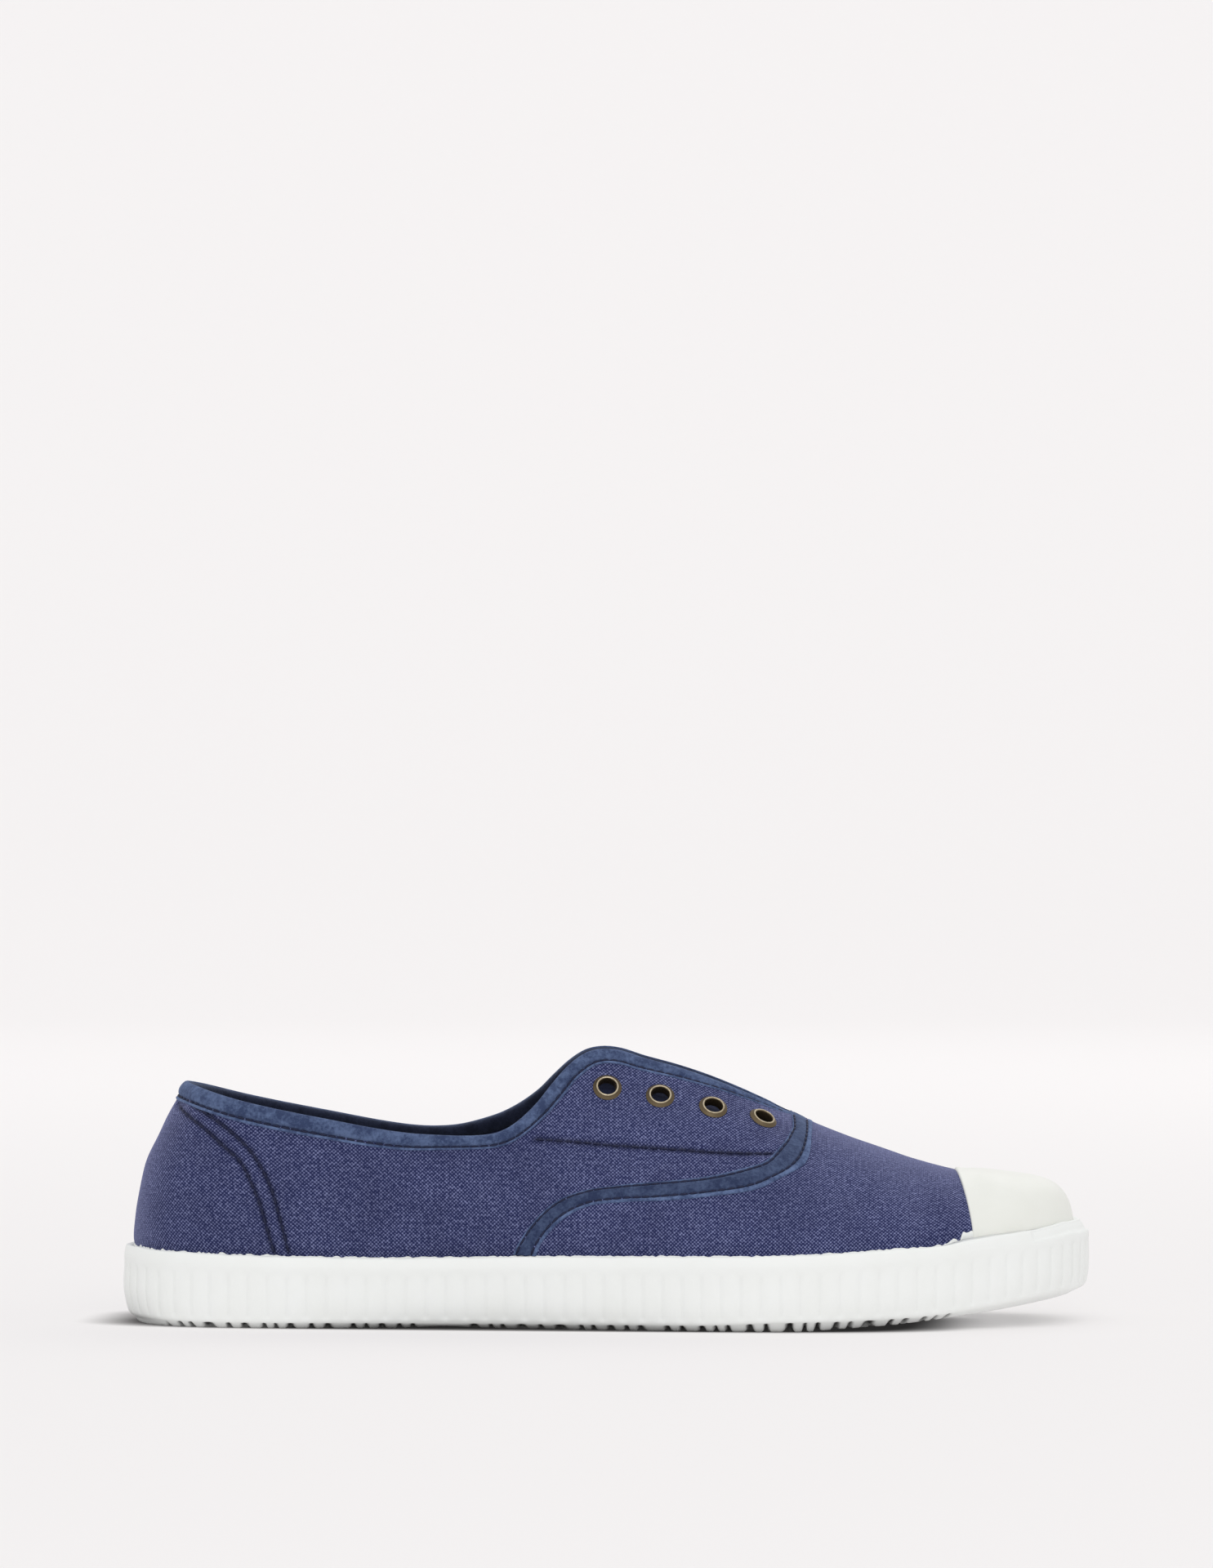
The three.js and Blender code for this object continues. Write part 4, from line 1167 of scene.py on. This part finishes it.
def capShare(q):
    # where the wall passes back over the cap's rear edge
    return shareWhere(q, lambda p: p[..., 0] < capEdgeX(p[..., 1]))


def capColumns():
    # positions where the rear edge runs, evenly along it, then those of the toe; one side only
    q = np.linspace(*capMake["edgeStations"], 500)
    foot = sectionPoint(q, np.zeros(q.shape))
    inside = q[(foot[:, 0] > capEdgeX(foot[:, 1])) & (capShare(q) < 1)]
    q = np.linspace(inside[0], inside[-1] + 0.002, 400)
    crossing = evenly(q, sectionPoint(q, capShare(q)), capMake["edgeSpacing"])[0][0]
    rest = np.linspace(crossing[-1], toeStation, capMake["frontCount"])[1:]
    return np.concatenate([crossing, rest])


def toeCap():
    # the wall in front of the rear edge twice over: the outer face's edge is a quarter round
    side = capColumns()
    q = np.concatenate([side, loopLength - side[-2::-1]])
    t = capShare(q)
    crossing = t < 1
    shares = t[:, None] * np.linspace(0, 1, capMake["rows"])

    def lifted(shares, rear, front, edgeRound):
        at = sectionPoint(q[:, None], shares)
        inFront = at[..., 0] - capEdgeX(at[..., 1])
        rounded = edgeRound * (1 - np.sqrt(np.clip(1 - (1 - inFront / capMake["edgeRound"])**2, 0, 1)))
        rounded = np.where(inFront < edgeRound, rounded, 0)
        height = rear + (front - rear) * smoothStep(0, capMake["taper"], inFront)
        return onLast(q[:, None], shares, height - rounded)

    outside = lifted(shares, capMake["rearLift"], capMake["lift"], capMake["edgeRound"])
    inside = lifted(shares[:, ::-1], capMake["rearUnder"], capMake["under"], 0.0)
    points = np.concatenate([outside, inside, outside[:, :1]], axis=1)
    keep = np.ones((len(q) - 1, points.shape[1] - 1), bool)
    keep[~crossing[:-1] | ~crossing[1:], capMake["rows"] - 1] = False
    cloth = np.stack(np.broadcast_arrays(q[:, None] * 9, np.arange(points.shape[1]) * 0.9), -1)
    return sheet(points, cloth, keep)


makePiece("toe_cap", [toeCap()], capRubber, ["toe_cap"])


# sole

soleMake = {
    "flute": 5.2, "fluteDepth": 0.5, "perFlute": 10,
    "fluteTop": 5.0, "fluteArch": 1.3,  # the flutes' arched ends stop this far below the rim
    "bandInset": 0.7, "bandFrom": (111.5, 112.6),  # round the toe the band under the rim is set back
    "rimWave": 0.14,
    "ridge": 4.6, "ceiling": 0.75,  # pitch of the tread's ridges, and the grooves' height over footEdge
    "underRows": 26,
    "plain": (-47.0, -38.0),  # no ridges at the edge along this stretch of the waist
    "plainToe": (82.0, 97.0), "plainHeel": (-111.0, -118.0),
    "crossGrooves": (-106, -94, -82, -62, -46, -30, -14, 2, 14, 26, 38, 50, 62, 74, 86, 98, 110),
}


def treadGroove(x, y, run, fromEdge):
    # how deep in a groove each point lies, 0 to 1: rounded grooves between ridges that run wavily across
    # the sole, and square to its outline near the edge; then straight cross grooves inside
    make = soleMake
    across = x + 1.6 * np.sin(2 * math.pi * y / 15)
    atEdge = smoothStep(9, 5, fromEdge)
    uneven = run + 0.9 * np.sin(2 * math.pi * run / 29) + 0.7 * np.sin(2 * math.pi * run / 11.7)
    place = (across * (1 - atEdge) + (uneven + 0 * x) * atEdge) / make["ridge"]
    groove = np.clip((2 * np.abs(place - np.floor(place) - 0.5) - 0.42) / 0.58, 0, 1)**1.5
    start, end = make["plain"]
    plain = smoothStep(start - 1, start + 0.5, x) * smoothStep(end + 1, end - 0.5, x)
    plain = np.maximum(plain, np.maximum(smoothStep(*make["plainToe"], x), smoothStep(*make["plainHeel"], x)))
    groove = groove * (1 - plain * atEdge)
    for grooveX in make["crossGrooves"]:
        groove = np.maximum(groove, smoothStep(1.9, 1.1, np.abs(x - grooveX)) * (1 - atEdge))
    return groove


def soleSheets():
    # for each position round the outline: up the cup's floor and wall, over the rim, down the fluted side
    # and under to the spine
    make = soleMake
    dense = np.linspace(0, loopLength, 6000)
    s = lastAt(dense)
    outline = np.stack([s["x"], s["y"]], -1) + planNormal(dense) * s["foxing"][:, None]
    length = pathLength(outline)
    flutes = int(round(length[-1] / make["flute"]))
    columns = flutes * make["perFlute"]
    along = np.linspace(0, length[-1], columns + 1)
    q = np.interp(along, length, dense)
    s = lastAt(q)
    out = planNormal(q)
    base = np.stack([s["x"], s["y"]], -1)
    edgeX = base[:, 0] + out[:, 0] * s["foxing"]
    rim, foot = heightAlong(rimEdge, edgeX), heightAlong(footEdge, edgeX)
    rim = rim + make["rimWave"] * ripple(along, (31.0, 17.3, 9.1))
    toeLean = smoothStep(100, 126, edgeX)
    heelLean = 1 - smoothStep(-127, -112, edgeX)
    clearance = upperMake["gap"] + (upperMake["gap"] + upperMake["capThickness"]) * smoothStep(
        85, 91, s["crestX"] + (s["x"] - s["crestX"]) * 0.6)

    # sidewall from the rim down, as inset from the outline and height: it leans in at toe and heel
    levels = np.stack([np.stack(np.broadcast_arrays(inset, z), -1) for inset, z in (
        (2.3 + 1.6 * toeLean, rim - 0.25),  # beside the canvas
        (1.5 + 1.6 * toeLean, rim),
        (0.9 + 1.3 * toeLean, rim - 0.15),  # over the rounded rim
        (0.45 + 0.9 * toeLean + 0.2 * heelLean, rim - 0.9),
        (0.12 + 0.35 * toeLean + 0.2 * heelLean, rim - 2.6),
        (0.1 + 0.2 * heelLean, rim - 4.4),  # down the upright side
        (0 * rim, foot + 6.5 + 2 * heelLean),
        (0.35 + 0.6 * heelLean, foot + 3),  # rounded under
        (0.9 + 1.1 * heelLean, foot + 1.2),
        (1.7 + 1.6 * heelLean, foot + 0.3),
        (4 + 0 * rim, heightAlong(treadEdge, edgeX)),
    )], axis=0)
    wall = smoothCurve(levels.reshape(len(levels), -1).T, 4)
    wall = wall.reshape(columns + 1, 2, -1).transpose(0, 2, 1)
    inset, z = wall[..., 0], wall[..., 1]

    # flutes: each rib is an arc in plan with narrow valleys beside it, arched off below the rim
    phase = along / length[-1] * flutes
    fromMiddle = 2 * np.abs(phase - np.floor(phase) - 0.5)
    arc = np.sqrt(1 - 0.97 * fromMiddle**2)
    top = rim - make["fluteTop"] + make["fluteArch"] * arc
    inFlutes = smoothStep(0.0, 0.9, top[:, None] - z) * smoothStep(-0.2, 1.2, z - foot[:, None] - 1.4)
    inset = inset + make["fluteDepth"] * (1.25 - arc[:, None]) * inFlutes
    underRim = rim[:, None] - z
    band = smoothStep(*make["bandFrom"], edgeX)[:, None] * smoothStep(2.9, 2.3, underRim)
    inset = inset + make["bandInset"] * band * smoothStep(-0.2, 0.5, underRim)
    wallPoints = np.concatenate([
        base[:, None] + out[:, None] * (s["foxing"][:, None] - inset)[..., None], z[..., None]], axis=-1)

    # the cup's wall inside, from its floor's edge up to the rim
    cup = []
    for height in (rim - 0.5, (rim + s["floor"]) / 2, s["floor"] + 0.2):
        t = shareWhere(q, lambda p: p[..., 2] > height)
        cup.append(onLast(q, t, clearance))
    cup[2][:, 2] = s["floor"] - upperMake["gap"]
    spine = np.stack([s["crestX"], s["crestY"], s["floor"] - upperMake["gap"]], -1)
    cup = np.stack([spine, (spine + cup[2]) / 2, cup[2], cup[1], cup[0]], axis=1)

    # the tread: from the outline's foot to the spine
    share = np.linspace(0, 1, make["underRows"])[1:]
    edge = wallPoints[:, -1]
    under = edge[:, None] * (1 - share)[None, :, None] + spine[:, None] * share[None, :, None]
    under[..., 2] = heightAlong(treadEdge, under[..., 0])
    points = np.concatenate([cup, wallPoints, under], axis=1)

    # what lies in a groove and lower than the grooves' ceiling is lifted to it, and takes painted shade
    x, y = points[..., 0], points[..., 1]
    outwards = (x - base[:, :1]) * out[:, :1] + (y - base[:, 1:]) * out[:, 1:]
    groove = treadGroove(x, y, along[:, None], s["foxing"][:, None] - outwards)
    inCup = cup.shape[1]
    groove[:, :inCup] = 0
    points[:, inCup:, 2] = np.maximum(points[:, inCup:, 2], 0)
    under = np.maximum(foot[:, None] + make["ceiling"] - points[..., 2], 0)
    dark = smoothStep(0.1, 0.6, groove) * smoothStep(0.0, 0.4, under)
    points[..., 2] += groove * under
    cloth = np.stack(np.broadcast_arrays(along[:, None], np.arange(points.shape[1])), -1)
    return [sheet(points[:, ::-1], cloth[:, ::-1], None, dark[:, ::-1])]


makePiece("sole", soleSheets(), rubber, ["sole"])


flashMake = {
    "spacing": 0.35, "front": 97.0,
    "stand": 0.1, "fray": 0.12, "heelFray": 0.24,  # mean height over the rim, and its raggedness
    # distance along the shoe, then how far the rubber has crept up over the outer canvas beside the cap
    "crept": np.array([
        (88.6, 0.0), (90.3, 0.9), (91.3, 0.6), (92.2, -0.1), (92.7, 1.5), (93.3, 2.1), (94.0, 1.7),
        (95.3, 2.0), (96.5, 0.2),
    ]),
    # height over the canvas up the outside, over the torn edge and down the back
    "profile": ((-0.9, 0.45), (-0.45, 0.3), (-0.15, 0.22), (0.0, 0.06), (-0.15, -0.2), (-0.9, -0.2)),
}


def rubberFlash():
    # thin flash of rubber with a ragged edge, squeezed up on the canvas all along the rim
    make = flashMake
    dense = np.linspace(-toeStation, toeStation, 3000)
    base = sectionPoint(dense, np.zeros(dense.shape))
    behind = base[:, 0] < make["front"]
    (q,), along = evenly(dense[behind][None], base[behind], make["spacing"])
    tremble = np.random.default_rng(11).normal(0, 1, len(q))
    tremble = np.convolve(tremble, (0.25, 0.5, 0.25), "same")
    x = base[behind, 0][np.linspace(0, behind.sum() - 1, len(q)).astype(int)]
    fray = make["fray"] + (make["heelFray"] - make["fray"]) * smoothStep(-70, -110, x)
    torn = make["stand"] + fray * (tremble + 1.2 * ripple(along, (2.3, 3.7, 5.9)))
    onOuter = np.mod(q, loopLength) < toeStation

    def edgeHeight(x, moves):
        # the rim; where the strip's row moves with its torn edge, that and the creep are added
        crept = heightAlong(make["crept"], x) * onOuter * (x > make["crept"][0, 0])
        return heightAlong(rimEdge, x) + (torn + crept) * moves

    columns = []
    for below, over in make["profile"]:
        moves = below > make["profile"][0][0]
        t = shareWhere(q, lambda p: p[..., 2] > edgeHeight(p[..., 0], moves) + below)
        relief = canvasRelief(sectionPoint(q, t)[None])[0][0]
        columns.append(onLast(q, t, relief + over))
    return sheet(np.stack(columns + columns[:1], axis=1))


makePiece("rubber_flash", [rubberFlash()], rubber)


# tongue gore and insole

goreMake = {
    "back": -5.0, "front": 60.0, "count": 110, "across": 44,
    "side": 0.6, "thickness": 1.4, "sink": 3.0, "crown": 0.5, "slope": 0.5,
    "throatEnd": 50.0, "vampFall": 0.43,  # from here forwards it falls by this share of the way gone
    "rib": 1.4, "ribHeight": 0.16,
    "slack": 0.1,  # a little further under the lining than its clearance
}


def tongueGore():
    # an arch of its own under the throat, ribbed lengthwise like elastic
    make = goreMake
    x = np.linspace(make["back"], make["front"], make["count"])
    outer = positionAtX(x)
    form = {
        "crestZ": (heightAlong(collarEdge, np.minimum(x, make["throatEnd"])) - make["sink"]
            - make["vampFall"] * np.maximum(x - make["throatEnd"], 0))[:, None],
        "crown": make["crown"], "slope": make["slope"],
    }
    share = np.linspace(make["side"], 1, make["across"])
    faces = []
    for depth, ribHeight in ((0.0, make["ribHeight"]), (make["thickness"], 0.0)):
        both = []
        for q in (outer, loopLength - outer):
            y = sectionPoint(q[:, None], share, **form)[..., 1]
            ribs = ribHeight * np.abs(np.cos(math.pi * y / make["rib"]))
            lift = ribs - upperMake["wall"] - upperMake["gap"] - make["slack"] - depth
            both.append(onLast(q[:, None], share, lift, **form))
        faces.append(np.concatenate([both[0], both[1][:, -2::-1]], axis=1))
    upside, underside = faces
    ring = np.concatenate([upside, underside[:, ::-1], upside[:, :1]], axis=1)
    # each end closes on the line half way between its two faces
    ends = [(upside[k] + underside[k]) / 2 for k in (0, -1)]
    ends = [np.concatenate([end, end[::-1], end[:1]])[None] for end in ends]
    points = np.concatenate([ends[0], ring, ends[1]])
    run = np.concatenate([x[:1], x, x[-1:]])
    cloth = np.stack(np.broadcast_arrays(run[:, None], points[..., 1]), -1)
    return sheet(points, cloth)


makePiece("tongue_gore", [tongueGore()], gore, ["tongue"])


insoleMake = {"thickness": 3.5, "spacing": 2.4, "rows": 22, "dish": 0.5, "edgeRound": 0.4}


def footBed():
    # a slab on the cup's floor: up its side, over a rounded edge and in to the spine, dished a little
    q = roundPositions(insoleMake["spacing"])
    s = lastAt(q)
    top = s["floor"] + insoleMake["thickness"]
    clear = -upperMake["wall"] - 2 * upperMake["gap"]

    def atHeight(z):
        t = shareWhere(q, lambda p: p[..., 2] > np.maximum(z, s["floor"] + 0.2))
        point = onLast(q, t, clear + 0 * q)
        point[:, 2] = z
        return point

    low, high = atHeight(s["floor"]), atHeight(top)
    spineLow = np.stack([s["crestX"], s["crestY"], s["floor"]], -1)
    spineHigh = np.stack([s["crestX"], s["crestY"], top], -1)
    share = np.linspace(0, 1, insoleMake["rows"])[None, :, None]
    bed = high[:, None] * (1 - share) + spineHigh[:, None] * share
    bed[..., 2] -= insoleMake["dish"] * smoothStep(0, 0.5, share[..., 0])
    bed[:, 0, 2] -= insoleMake["edgeRound"]
    middle = (low * 0.5 + high * 0.5)[:, None]
    points = np.concatenate([spineLow[:, None], low[:, None], middle, bed], axis=1)
    return sheet(points, points[..., :2].copy())


makePiece("insole_cover", [footBed()], lining, ["insole"])


# end

print("the shoe is made")
